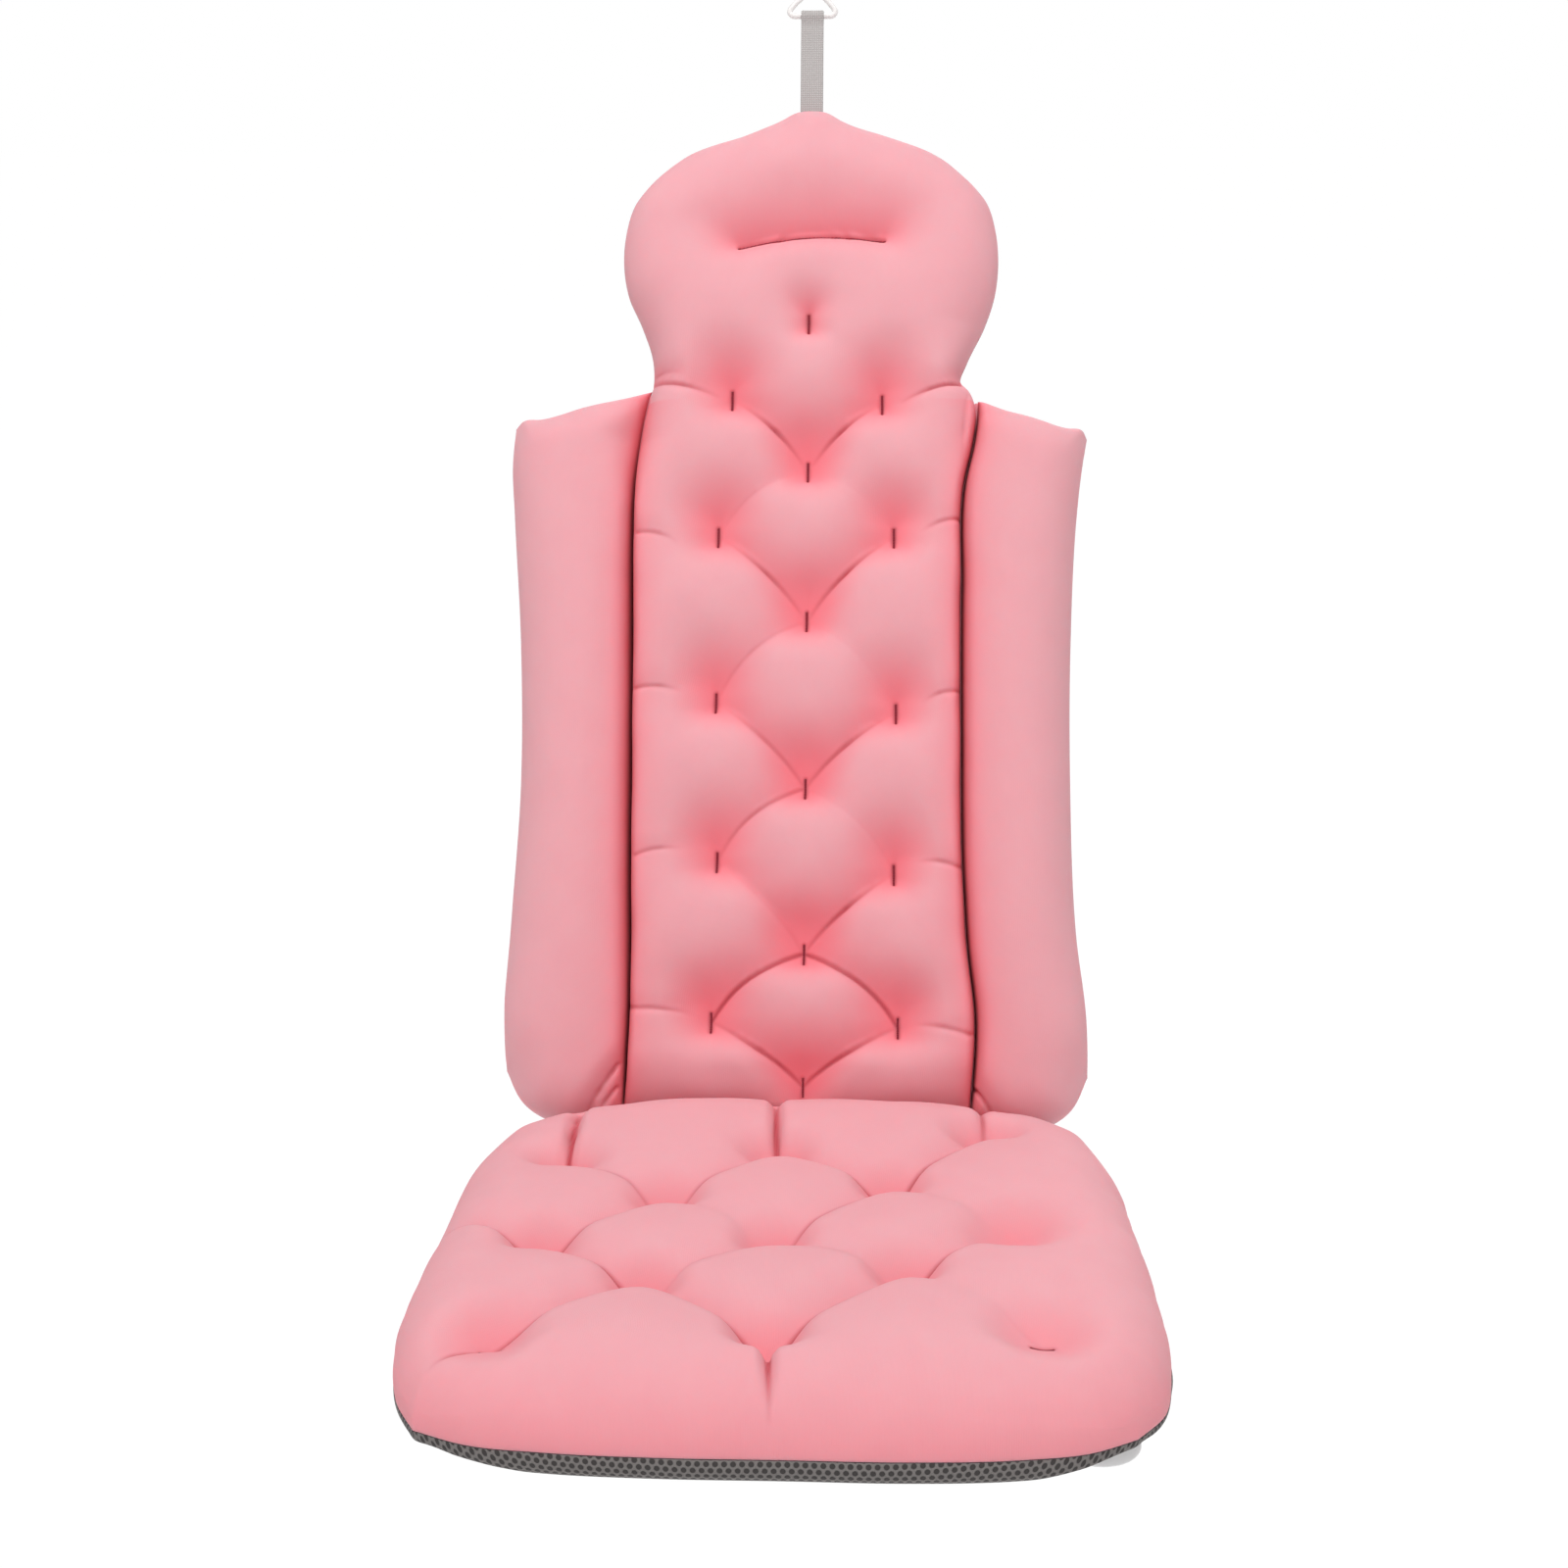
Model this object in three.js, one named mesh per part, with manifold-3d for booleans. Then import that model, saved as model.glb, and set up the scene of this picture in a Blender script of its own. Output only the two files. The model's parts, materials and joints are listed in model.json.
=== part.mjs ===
// A bath pillow: a pink tufted lounger for a bathtub, with a head rest, a back panel between two side
// bolsters, a seat that folds at the crease, a grey air-mesh underside on suction cups, and a strap and
// hook at the top of the head. Millimetres, +Z up, the sitter faces -Y.
// The origin is on the centre plane, on the line where the tub floor meets its sloping end wall.
import * as THREE from "three";
import { mergeVertices } from "three/addons/utils/BufferGeometryUtils.js";
import Module from "manifold-3d";

const wasm = await Module();
wasm.setup();

// Fabric, seams and clearances
const wall = 3; // padded cover fabric, and the air mesh underneath
const clearance = 0.3; // between pieces that touch
const seamGap = 0.5; // thread line between the cover's rim and the mesh's
const bindingDiameter = 4; // rolled binding on which two cushions fold

// Posture on the tub
const backLean = 20; // degrees from upright
const foldHeight = 50; // crease between seat and back, above the tub floor

// Seat cushion, from the crease towards -Y
const seatDepth = 384;
const seatFrontWidth = 462;
const seatRearWidth = 438;
const seatFrontCorner = 80;
const seatRearCorner = 95;
const seatSeamHeight = 24; // pink cover meets grey mesh
const seatCrownHeight = 74;
const seatBellyHeight = 4; // sagging mesh above the floor
const seatEdgeRound = 46;
const seatRearSlope = 55; // how far the crown takes to rise from the crease
const seatUnderRound = 34;
const seatUnderRearRound = 11;
const seatRearSeamRun = 120; // the side seam climbs to the crease over this length

// Back panel, upwards from the crease, heights from the crease towards the sitter
const neckHeight = 514; // crease to neck seam
const bolsterSeamSpacing = 240; // between the two bolster seams
const backCrown = 20;
const backDepth = 36; // crease to the outer face of the mesh behind
const bolsterSeamDepth = 12; // bolster seams lie this far behind the crease
const neckSeamDepth = 14;
const sideGrooveRun = 24;
const neckGrooveRun = 26;
const backLowerRun = 55;
const backUnderRun = 30;
const backUnderLowRun = 10;
const backSeamBlend = 60; // seams change height over this length at both ends

// Side bolsters
const bolsterTopWidth = 82;
const bolsterWaistWidth = 74;
const bolsterBottomWidth = 84;
const bolsterInnerTop = 508;
const bolsterTopDrop = 23; // the outer top corner is lower than the inner one
const bolsterBottom = 4;
const bolsterBottomLift = 30; // corners of the rounded bottom
const bolsterCrown = 28;
const bolsterOuterRound = 34;
const bolsterGrooveRun = 34;
const bolsterBottomRun = 90;
const bolsterTopRound = 30;

// Head rest, upwards from the neck seam
const neckWidth = 218;
const headWidth = 264;
const headWidestAt = 88;
const headLength = 198;
const headTipWidth = 20;
const headShoulderWidth = 172; // where the outline turns in to the tip
const headShoulderAt = 168;
const headCheekShare = 0.6; // of the widening from neck to widest, reached half way up
const headTempleShare = 0.3; // of the narrowing from widest to shoulder
const headTempleAt = 0.65; // of the height between them
const headHollowShare = 0.55; // of the hollow between shoulder and tip, both ways
const headCrown = 36;
const headRound = 48;

// Tufts: bar tacks that draw the cover down
const tackLength = 13.5;
const tackWidth = 2.2;
const tackBite = 6; // below the cover, into the filling
const tackProud = 0.8;
const seatTuftDepth = 24;
const backTuftDepth = 17;
const headTuftDepth = 16;
const tuftReach = 26;
const headStitchLength = 100;
const seatTackPlaces = [ // shares of half the front width and of the depth, row by row from the crease
  { across: -0.646, along: 0.315 },
  { across: -0.058, along: 0.268 },
  { across: 0.533, along: 0.195 },
  { across: -0.347, along: 0.441 },
  { across: 0.262, along: 0.392 },
  { across: -0.65, along: 0.598 },
  { across: -0.044, along: 0.577 },
  { across: 0.59, along: 0.525 },
  { across: -0.366, along: 0.7125 },
  { across: 0.298, along: 0.671 },
  { across: -0.713, along: 0.86 },
  { across: -0.038, along: 0.87 },
  { across: 0.625, along: 0.84 },
];
const backTackPlaces = [ // shares of half the seam spacing and of the height to the neck, pairs first
  { across: -0.535, along: 0.122 },
  { across: 0.546, along: 0.117 },
  { across: -0.51, along: 0.339 },
  { across: 0.5175, along: 0.3235 },
  { across: -0.525, along: 0.5555 },
  { across: 0.5225, along: 0.542 },
  { across: -0.52, along: 0.782 },
  { across: 0.505, along: 0.782 },
  { across: -0.445, along: 0.97 },
  { across: 0.431, along: 0.9645 },
  { across: 0, along: 0.0352 },
  { across: 0, along: 0.215 },
  { across: 0, along: 0.4397 },
  { across: 0, along: 0.6675 },
  { across: 0, along: 0.8724 },
];
const headTackAt = 38;
const headStitchAt = 98;

// Suction cups
const cupDiameter = 48;
const cupRimWidth = 2.5;
const cupHeight = 11; // mesh face to the rim's plane
const cupHollow = 5;
const cupHollowShare = 0.8; // of the hollow's depth, half way out
const cupRimThickness = 1;
const cupBellShare = 0.65; // of the width from shoulder to rim
const cupBellDrop = 0.55; // of the height, at that width
const cupShoulderDiameter = 18;
const cupNeckDiameter = 9;
const cupButtonDiameter = 16;
const cupButtonThickness = 3;
const cupSeatFlat = 40; // flat patch of mesh round a cup
const cupSeatFade = 75;
const seatFrontCupFromSide = 53; // cup centres from the seat's full width
const seatRearCupFromSide = 67;
const seatFrontCupFromSeam = 62; // and from its front seam
const seatRearCupFromCrease = 95;
const backCupFromSeam = 46; // from the bolster seams
const backCupFromCrease = 120;
const backCupFromNeck = 114;

// Strap and hook
const strapWidth = 16;
const strapThickness = 1.5; // one layer of the folded webbing
const strapLength = 68; // head seam to the hook's bar
const wireDiameter = 4.2;
const hookBaseWidth = 26; // between the centres of the bar's two bends
const hookLegAngle = 45; // degrees between the bar and each leg
const hookCornerRadius = 3.2;
const hookBowRadius = 17;
const hookTipAngle = -30; // where the bow ends, from the +X side

// Fineness of the meshes
const edgeSteps = [3, 12, 30]; // grid lines this far from a cushion's edges
const seatCells = { across: 12, along: 11 }; // grid cells between the edge lines
const backCells = { across: 4, along: 14 };
const bolsterCells = { across: 1, along: 9 };
const headCells = { across: 6, along: 5 };
const roundSides = 12;
const strapCurveSegments = 9;
const wireCurveSegments = 4;
const hookCornerSteps = 5;
const hookBowSteps = 12;
const hookPathSteps = 52;
const weldDistance = 1e-4;
const halvings = 40; // when a width is looked up in an outline

const { lerp, smoothstep, degToRad } = THREE.MathUtils;
const bindingRadius = bindingDiameter / 2;
const seamOffset = bindingRadius + clearance;
const lean = degToRad(backLean);
const wallReach = backDepth + seamGap + cupHeight;
const foldY = (foldHeight * Math.sin(lean) - wallReach) / Math.cos(lean);
const bolsterSeamX = bolsterSeamSpacing / 2;

function fabric(color, roughness) {
  return new THREE.MeshStandardMaterial({ color, roughness, metalness: 0 });
}

const pinkKnit = () => fabric(0xf0a0aa, 0.9);
const greyMesh = () => fabric(0x82807d, 0.85);
const wadding = () => fabric(0xf4f1ec, 1);
const tackThread = () => fabric(0x7a2f3a, 0.8);
const clearVinyl = () => fabric(0xe9ecec, 0.3);
const webbing = () => fabric(0xbebbba, 0.8);
const hookPlastic = () => fabric(0xf6f6f4, 0.35);

// Solids and meshes

function toSolid(geometry) {
  const bare = geometry.clone();
  bare.deleteAttribute("normal");
  bare.deleteAttribute("uv");
  const merged = mergeVertices(bare, weldDistance);
  const corners = merged.index.array;
  const triangles = [];
  for (let k = 0; k < corners.length; k += 3) {
    const [a, b, c] = [corners[k], corners[k + 1], corners[k + 2]];
    if (a !== b && b !== c && c !== a) {
      triangles.push(a, b, c);
    }
  }
  const vertProperties = new Float32Array(merged.attributes.position.array);
  const triVerts = new Uint32Array(triangles);
  return new wasm.Manifold(new wasm.Mesh({ numProp: 3, vertProperties, triVerts }));
}

function toGeometry(solid) {
  const mesh = solid.getMesh();
  const geometry = new THREE.BufferGeometry();
  geometry.setAttribute("position", new THREE.BufferAttribute(mesh.vertProperties, 3));
  geometry.setIndex(new THREE.BufferAttribute(mesh.triVerts, 1));
  geometry.computeVertexNormals();
  return geometry;
}

function addPiece(group, name, shape, material) {
  const geometry = shape.isBufferGeometry ? shape : toGeometry(shape);
  const mesh = new THREE.Mesh(geometry, material);
  mesh.name = name;
  group.add(mesh);
}

function boxSolid(width, depth, bottom, top, x, y) {
  const box = new THREE.BoxGeometry(width, depth, top - bottom);
  box.translate(x, y, (top + bottom) / 2);
  return toSolid(box);
}

function postSolid(radius, bottom, top, x, y) {
  const post = new THREE.CylinderGeometry(radius, radius, top - bottom, roundSides);
  post.rotateX(Math.PI / 2);
  post.translate(x, y, (top + bottom) / 2);
  return toSolid(post);
}

// Cushions: a grid over the plan, closely spaced at its edges, carries the cover, filling and mesh

function spacedFractions(length, middleCells) {
  const lower = [0, ...edgeSteps].map((step) => step / length);
  const start = lower[lower.length - 1];
  const fractions = [...lower];
  for (let k = 1; k < middleCells; k += 1) {
    fractions.push(lerp(start, 1 - start, k / middleCells));
  }
  return [...fractions, ...lower.reverse().map((fraction) => 1 - fraction)];
}

// A free edge rises as a quarter round, a folding edge as a slope that leaves room for the fold
function rise(distance, { run, folds }) {
  const share = Math.min(1, Math.max(0, distance / run));
  return folds ? Math.sin((share * Math.PI) / 2) : Math.sqrt(1 - (1 - share) ** 2);
}

function edgeRise(point, edges) {
  const across = rise(point.x - point.left, edges.left) * rise(point.right - point.x, edges.right);
  return across * rise(point.y - point.low, edges.low) * rise(point.high - point.y, edges.high);
}

function planPoint(pad, i, j, inset) {
  const a = pad.columns[i];
  const b = pad.rows[j];
  const low = pad.low(a) + inset;
  const high = pad.high(a) - inset;
  const left = pad.left(b) + inset;
  const right = pad.right(b) - inset;
  const tack = pad.tackAt.get(`${i},${j}`);
  const x = tack ? tack.x : lerp(left, right, a);
  const y = tack ? tack.y : lerp(low, high, b);
  return { x, y, left, right, low, high };
}

// The grid point nearest to each tack moves onto it, so that every tuft keeps its full depth
function placeTacksOnGrid(pad) {
  const found = new Map();
  for (const tack of pad.tacks) {
    let best = { gap: Infinity, key: "" };
    for (let j = 1; j < pad.rows.length - 1; j += 1) {
      for (let i = 1; i < pad.columns.length - 1; i += 1) {
        const point = planPoint(pad, i, j, 0);
        const gap = Math.hypot(point.x - tack.x, point.y - tack.y);
        best = gap < best.gap ? { gap, key: `${i},${j}` } : best;
      }
    }
    found.set(best.key, tack);
  }
  pad.tackAt = found;
}

function tuftShare(pad, x, y) {
  let left = 1;
  for (const tack of pad.tacks) {
    const reach = tack.length / 2;
    const dx = Math.max(0, Math.abs(x - tack.x) - (tack.along === "x" ? reach : 0));
    const dy = Math.max(0, Math.abs(y - tack.y) - (tack.along === "y" ? reach : 0));
    left *= 1 - Math.exp(-((Math.hypot(dx, dy) / tuftReach) ** 2));
  }
  return 1 - left;
}

function innerCoverHeight(pad, point) {
  const seam = pad.seam(point.y);
  const height = edgeRise(point, pad.topEdges);
  const crown = pad.crown - wall - seam;
  return seam + height * (crown - pad.tuftDepth * tuftShare(pad, point.x, point.y));
}

function coverHeight(pad, point) {
  return innerCoverHeight(pad, point) + wall * edgeRise(point, pad.topEdges);
}

function underHeight(pad, point, lift) {
  const seam = pad.seam(point.y);
  return seam + edgeRise(point, pad.underEdges) * (pad.base(point.x, point.y) + lift - seam);
}

// Two sheets over the same grid, joined along their edges into one closed body
function sheetSolid(pad, upper, lower) {
  const columns = pad.columns.length;
  const rows = pad.rows.length;
  const positions = [];
  for (const sheet of [upper, lower]) {
    for (let j = 0; j < rows; j += 1) {
      for (let i = 0; i < columns; i += 1) {
        positions.push(...sheet(i, j));
      }
    }
  }
  const at = (sheet, i, j) => sheet * columns * rows + j * columns + i;
  const index = [];
  const quad = (a, b, c, d) => index.push(a, b, c, a, c, d);
  for (let j = 0; j < rows - 1; j += 1) {
    for (let i = 0; i < columns - 1; i += 1) {
      const corners = [[i, j], [i + 1, j], [i + 1, j + 1], [i, j + 1]];
      const turned = pad.ridgeRunsBack(i, j) ? [...corners.slice(1), corners[0]] : corners;
      const [a, b, c, d] = turned;
      quad(at(0, ...a), at(0, ...b), at(0, ...c), at(0, ...d));
      quad(at(1, ...c), at(1, ...b), at(1, ...a), at(1, ...d));
    }
  }
  for (let i = 0; i < columns - 1; i += 1) {
    quad(at(1, i, 0), at(1, i + 1, 0), at(0, i + 1, 0), at(0, i, 0));
    quad(at(0, i, rows - 1), at(0, i + 1, rows - 1), at(1, i + 1, rows - 1), at(1, i, rows - 1));
  }
  for (let j = 0; j < rows - 1; j += 1) {
    quad(at(0, 0, j), at(0, 0, j + 1), at(1, 0, j + 1), at(1, 0, j));
    quad(at(1, columns - 1, j), at(1, columns - 1, j + 1), at(0, columns - 1, j + 1), at(0, columns - 1, j));
  }
  const geometry = new THREE.BufferGeometry();
  geometry.setAttribute("position", new THREE.Float32BufferAttribute(positions, 3));
  geometry.setIndex(index);
  return toSolid(geometry);
}

// Each grid cell is folded along its higher diagonal, so that tufts sink between full lobes
function findRidges(pad) {
  const height = (i, j) => coverHeight(pad, planPoint(pad, i, j, 0));
  pad.ridgeRunsBack = (i, j) => {
    const along = height(i, j) + height(i + 1, j + 1);
    return height(i + 1, j) + height(i, j + 1) > along;
  };
}

function coverSolid(pad) {
  const outer = (i, j) => {
    const point = planPoint(pad, i, j, 0);
    return [point.x, point.y, coverHeight(pad, point)];
  };
  const inner = (i, j) => {
    const point = planPoint(pad, i, j, wall);
    return [point.x, point.y, innerCoverHeight(pad, point)];
  };
  return sheetSolid(pad, outer, inner);
}

function fillSolid(pad) {
  const inset = wall + clearance;
  const top = (i, j) => {
    const point = planPoint(pad, i, j, inset);
    return [point.x, point.y, innerCoverHeight(pad, point) - clearance * edgeRise(point, pad.topEdges)];
  };
  const bottom = (i, j) => {
    const point = planPoint(pad, i, j, inset);
    return [point.x, point.y, underHeight(pad, point, wall + clearance)];
  };
  return sheetSolid(pad, top, bottom);
}

function meshSolid(pad) {
  const inner = (i, j) => {
    const point = planPoint(pad, i, j, wall);
    return [point.x, point.y, underHeight(pad, point, wall) - seamGap];
  };
  const outer = (i, j) => {
    const point = planPoint(pad, i, j, 0);
    return [point.x, point.y, underHeight(pad, point, 0) - seamGap];
  };
  return sheetSolid(pad, inner, outer);
}

function cupGeometry() {
  const rim = cupDiameter / 2;
  const buttonFoot = wall + clearance;
  const profile = [
    [0, buttonFoot + cupButtonThickness],
    [cupButtonDiameter / 2, buttonFoot + cupButtonThickness],
    [cupButtonDiameter / 2, buttonFoot],
    [cupNeckDiameter / 2, buttonFoot],
    [cupNeckDiameter / 2, -2 * clearance],
    [cupShoulderDiameter / 2, -2 * clearance],
    [lerp(cupShoulderDiameter / 2, rim, cupBellShare), -cupHeight * cupBellDrop],
    [rim, cupRimThickness - cupHeight],
    [rim, -cupHeight],
    [rim - cupRimWidth, -cupHeight],
    [(rim - cupRimWidth) / 2, cupHollow * cupHollowShare - cupHeight],
    [0, cupHollow - cupHeight],
  ];
  const points = profile.reverse().map(([radius, height]) => new THREE.Vector2(radius, height));
  return new THREE.LatheGeometry(points, roundSides).rotateX(Math.PI / 2);
}

function tackSpan(pad, tack) {
  const point = planPoint(pad, 0, 0, 0);
  const here = { ...point, ...pad.limitsAt(tack), x: tack.x, y: tack.y };
  const top = coverHeight(pad, here);
  return { top: top + tackProud, bottom: top - wall - tackBite };
}

function tackBox(pad, tack, spare, lift) {
  const { top, bottom } = tackSpan(pad, tack);
  const long = tack.length + 2 * spare;
  const thin = tackWidth + 2 * spare;
  const width = tack.along === "x" ? long : thin;
  const depth = tack.along === "x" ? thin : long;
  return boxSolid(width, depth, bottom - spare, top + lift, tack.x, tack.y);
}

// One cushion: cover, filling and mesh, with its tacks and cups let in
function addCushion(group, name, pad) {
  pad.tackAt = new Map();
  placeTacksOnGrid(pad);
  findRidges(pad);
  let cover = coverSolid(pad);
  let fill = fillSolid(pad);
  let mesh = meshSolid(pad);
  for (const tack of pad.tacks) {
    const slot = tackBox(pad, tack, clearance, pad.crown);
    cover = cover.subtract(slot);
    fill = fill.subtract(slot);
  }
  for (const cup of pad.cups) {
    const face = pad.base(cup.x, cup.y) - seamGap;
    const neckHole = cupNeckDiameter / 2 + clearance;
    const pocket = cupButtonDiameter / 2 + 2 * clearance;
    const buttonTop = face + wall + cupButtonThickness + 2 * clearance;
    mesh = mesh.subtract(postSolid(neckHole, face - cupHeight, buttonTop, cup.x, cup.y));
    fill = fill.subtract(postSolid(pocket, face - cupHeight, buttonTop + clearance, cup.x, cup.y));
  }
  addPiece(group, `${name}_cover`, cover, pinkKnit());
  addPiece(group, `${name}_filling`, fill, wadding());
  addPiece(group, `${name}_air_mesh`, mesh, greyMesh());
  for (const tack of pad.tacks) {
    addPiece(group, tack.name, tackBox(pad, tack, 0, 0), tackThread());
  }
  for (const cup of pad.cups) {
    const shape = cupGeometry().translate(cup.x, cup.y, pad.base(cup.x, cup.y) - seamGap);
    addPiece(group, cup.name, shape, clearVinyl());
  }
}

const free = (run) => ({ run, folds: false });
const folding = (run) => ({ run, folds: true });

// Seat

function seatHalfWidth(b) {
  const half = lerp(seatFrontWidth, seatRearWidth, b) / 2;
  const fromFront = b * (seatDepth - seamOffset);
  const fromRear = (1 - b) * (seatDepth - seamOffset);
  const front = Math.max(0, seatFrontCorner - fromFront);
  const rear = Math.max(0, seatRearCorner - fromRear);
  const frontCut = seatFrontCorner - Math.sqrt(seatFrontCorner ** 2 - front ** 2);
  const rearCut = seatRearCorner - Math.sqrt(seatRearCorner ** 2 - rear ** 2);
  return half - frontCut - rearCut;
}

function seatSeam(y) {
  return lerp(seatSeamHeight, foldHeight, smoothstep(y, -seatRearSeamRun, 0));
}

const seatCups = [];
for (const [side, sign] of [["left", -1], ["right", 1]]) {
  const frontX = sign * (seatFrontWidth / 2 - seatFrontCupFromSide);
  const rearX = sign * (seatRearWidth / 2 - seatRearCupFromSide);
  seatCups.push({ name: `seat_front_${side}_cup`, x: frontX, y: seatFrontCupFromSeam - seatDepth });
  seatCups.push({ name: `seat_rear_${side}_cup`, x: rearX, y: -seatRearCupFromCrease });
}

function seatBase(x, y) {
  const nearest = Math.min(...seatCups.map((cup) => Math.hypot(x - cup.x, y - cup.y)));
  return seamGap + lerp(cupHeight, seatBellyHeight, smoothstep(nearest, cupSeatFlat, cupSeatFade));
}

const seatTacks = seatTackPlaces.map(({ across, along }, place) => ({
  name: `seat_tuft_tack_${place + 1}`,
  x: (across * seatFrontWidth) / 2,
  y: -along * seatDepth,
  length: tackLength,
  along: "x",
}));

const seatPad = {
  columns: spacedFractions(seatFrontWidth, seatCells.across),
  rows: spacedFractions(seatDepth, seatCells.along),
  low: () => -seatDepth,
  high: () => -seamOffset,
  left: (b) => -seatHalfWidth(b),
  right: seatHalfWidth,
  seam: seatSeam,
  crown: seatCrownHeight,
  base: seatBase,
  topEdges: {
    left: free(seatEdgeRound),
    right: free(seatEdgeRound),
    low: free(seatEdgeRound),
    high: folding(seatRearSlope),
  },
  underEdges: {
    left: free(seatUnderRound),
    right: free(seatUnderRound),
    low: free(seatUnderRound),
    high: free(seatUnderRearRound),
  },
  tuftDepth: seatTuftDepth,
  tacks: seatTacks,
  cups: seatCups,
};
seatPad.limitsAt = (tack) => {
  const b = (tack.y + seatDepth) / (seatDepth - seamOffset);
  return { left: -seatHalfWidth(b), right: seatHalfWidth(b), low: -seatDepth, high: -seamOffset };
};

// Back panel

function backSeam(y) {
  const lower = lerp(0, -bolsterSeamDepth, smoothstep(y, 0, backSeamBlend));
  return lerp(lower, -neckSeamDepth, smoothstep(y, neckHeight - backSeamBlend, neckHeight));
}

const backTacks = backTackPlaces.map(({ across, along }, place) => ({
  name: `back_tuft_tack_${place + 1}`,
  x: across * bolsterSeamX,
  y: along * neckHeight,
  length: tackLength,
  along: "y",
}));

const backCups = [];
for (const [side, sign] of [["left", -1], ["right", 1]]) {
  const x = sign * (bolsterSeamX - backCupFromSeam);
  backCups.push({ name: `back_lower_${side}_cup`, x, y: backCupFromCrease });
  backCups.push({ name: `back_upper_${side}_cup`, x, y: neckHeight - backCupFromNeck });
}

const backHalfWidth = bolsterSeamX - seamOffset;
const backLimits = {
  left: -backHalfWidth,
  right: backHalfWidth,
  low: seamOffset,
  high: neckHeight - seamOffset,
};
const backPad = {
  columns: spacedFractions(2 * backHalfWidth, backCells.across),
  rows: spacedFractions(neckHeight, backCells.along),
  low: () => backLimits.low,
  high: () => backLimits.high,
  left: () => backLimits.left,
  right: () => backLimits.right,
  limitsAt: () => backLimits,
  seam: backSeam,
  crown: backCrown,
  base: () => -backDepth,
  topEdges: {
    left: folding(sideGrooveRun),
    right: folding(sideGrooveRun),
    low: folding(backLowerRun),
    high: folding(neckGrooveRun),
  },
  underEdges: {
    left: folding(backUnderRun),
    right: folding(backUnderRun),
    low: free(backUnderLowRun),
    high: folding(backUnderRun),
  },
  tuftDepth: backTuftDepth,
  tacks: backTacks,
  cups: backCups,
};

// Bolsters: drawn in at the waist, a rounded bottom and a slanting top

function bolsterWidth(b) {
  const ends = lerp(bolsterBottomWidth, bolsterTopWidth, b);
  return lerp(ends, bolsterWaistWidth, Math.sin(b * Math.PI) ** 2) - seamOffset;
}

function bolsterPad(sign) {
  const outward = (a) => (sign > 0 ? a : 1 - a);
  const inner = bolsterSeamX + seamOffset;
  const innerEdge = { top: folding(bolsterGrooveRun), under: folding(backUnderRun) };
  const outerEdge = { top: free(bolsterOuterRound), under: free(backUnderRun) };
  const [leftEdge, rightEdge] = sign > 0 ? [innerEdge, outerEdge] : [outerEdge, innerEdge];
  return {
    columns: spacedFractions(bolsterTopWidth, bolsterCells.across),
    rows: spacedFractions(bolsterInnerTop, bolsterCells.along),
    low: (a) => bolsterBottom + bolsterBottomLift * (2 * a - 1) ** 2,
    high: (a) => bolsterInnerTop - bolsterTopDrop * outward(a),
    left: (b) => (sign > 0 ? inner : -inner - bolsterWidth(b)),
    right: (b) => (sign > 0 ? inner + bolsterWidth(b) : -inner),
    seam: () => -bolsterSeamDepth,
    crown: bolsterCrown,
    base: () => -backDepth,
    topEdges: {
      left: leftEdge.top,
      right: rightEdge.top,
      low: folding(bolsterBottomRun),
      high: free(bolsterTopRound),
    },
    underEdges: {
      left: leftEdge.under,
      right: rightEdge.under,
      low: folding(backUnderRun),
      high: free(backUnderRun),
    },
    tuftDepth: 0,
    tacks: [],
    cups: [],
  };
}

// Head rest: an onion outline with a pointed top

const headTempleWidth = lerp(headWidth, headShoulderWidth, headTempleShare);
const headTempleY = lerp(headWidestAt, headShoulderAt, headTempleAt);
const headHollowWidth = lerp(headShoulderWidth, headTipWidth, headHollowShare);
const headHollowY = lerp(headShoulderAt, headLength, headHollowShare);
const headOutline = new THREE.SplineCurve([
  new THREE.Vector2(neckWidth / 2, seamOffset),
  new THREE.Vector2(lerp(neckWidth, headWidth, headCheekShare) / 2, headWidestAt / 2),
  new THREE.Vector2(headWidth / 2, headWidestAt),
  new THREE.Vector2(headTempleWidth / 2, headTempleY),
  new THREE.Vector2(headShoulderWidth / 2, headShoulderAt),
  new THREE.Vector2(headHollowWidth / 2, headHollowY),
  new THREE.Vector2(headTipWidth / 2, headLength),
]);
const headRows = spacedFractions(headLength, headCells.along);
const headSeamY = (b) => headOutline.getPoint(b).y;
const headHalfWidth = (b) => headOutline.getPoint(b).x;

const headTacks = [
  { name: "head_tuft_tack", x: 0, y: headTackAt, length: tackLength, along: "y" },
  { name: "head_channel_stitch", x: 0, y: headStitchAt, length: headStitchLength, along: "x" },
];

const headPad = {
  columns: spacedFractions(headWidth, headCells.across),
  rows: headRows.map((b) => (headSeamY(b) - seamOffset) / (headLength - seamOffset)),
  low: () => seamOffset,
  high: () => headLength,
  left: (share) => -headHalfWidthAt(share),
  right: (share) => headHalfWidthAt(share),
  limitsAt: (tack) => {
    const half = headHalfWidthAt((tack.y - seamOffset) / (headLength - seamOffset));
    return { left: -half, right: half, low: seamOffset, high: headLength };
  },
  seam: () => 0,
  crown: headCrown,
  base: () => neckSeamDepth - backDepth,
  topEdges: {
    left: free(headRound),
    right: free(headRound),
    low: folding(neckGrooveRun),
    high: free(headRound),
  },
  underEdges: {
    left: free(backUnderRun),
    right: free(backUnderRun),
    low: folding(backUnderRun),
    high: free(backUnderRun),
  },
  tuftDepth: headTuftDepth,
  tacks: headTacks,
  cups: [],
};

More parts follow.
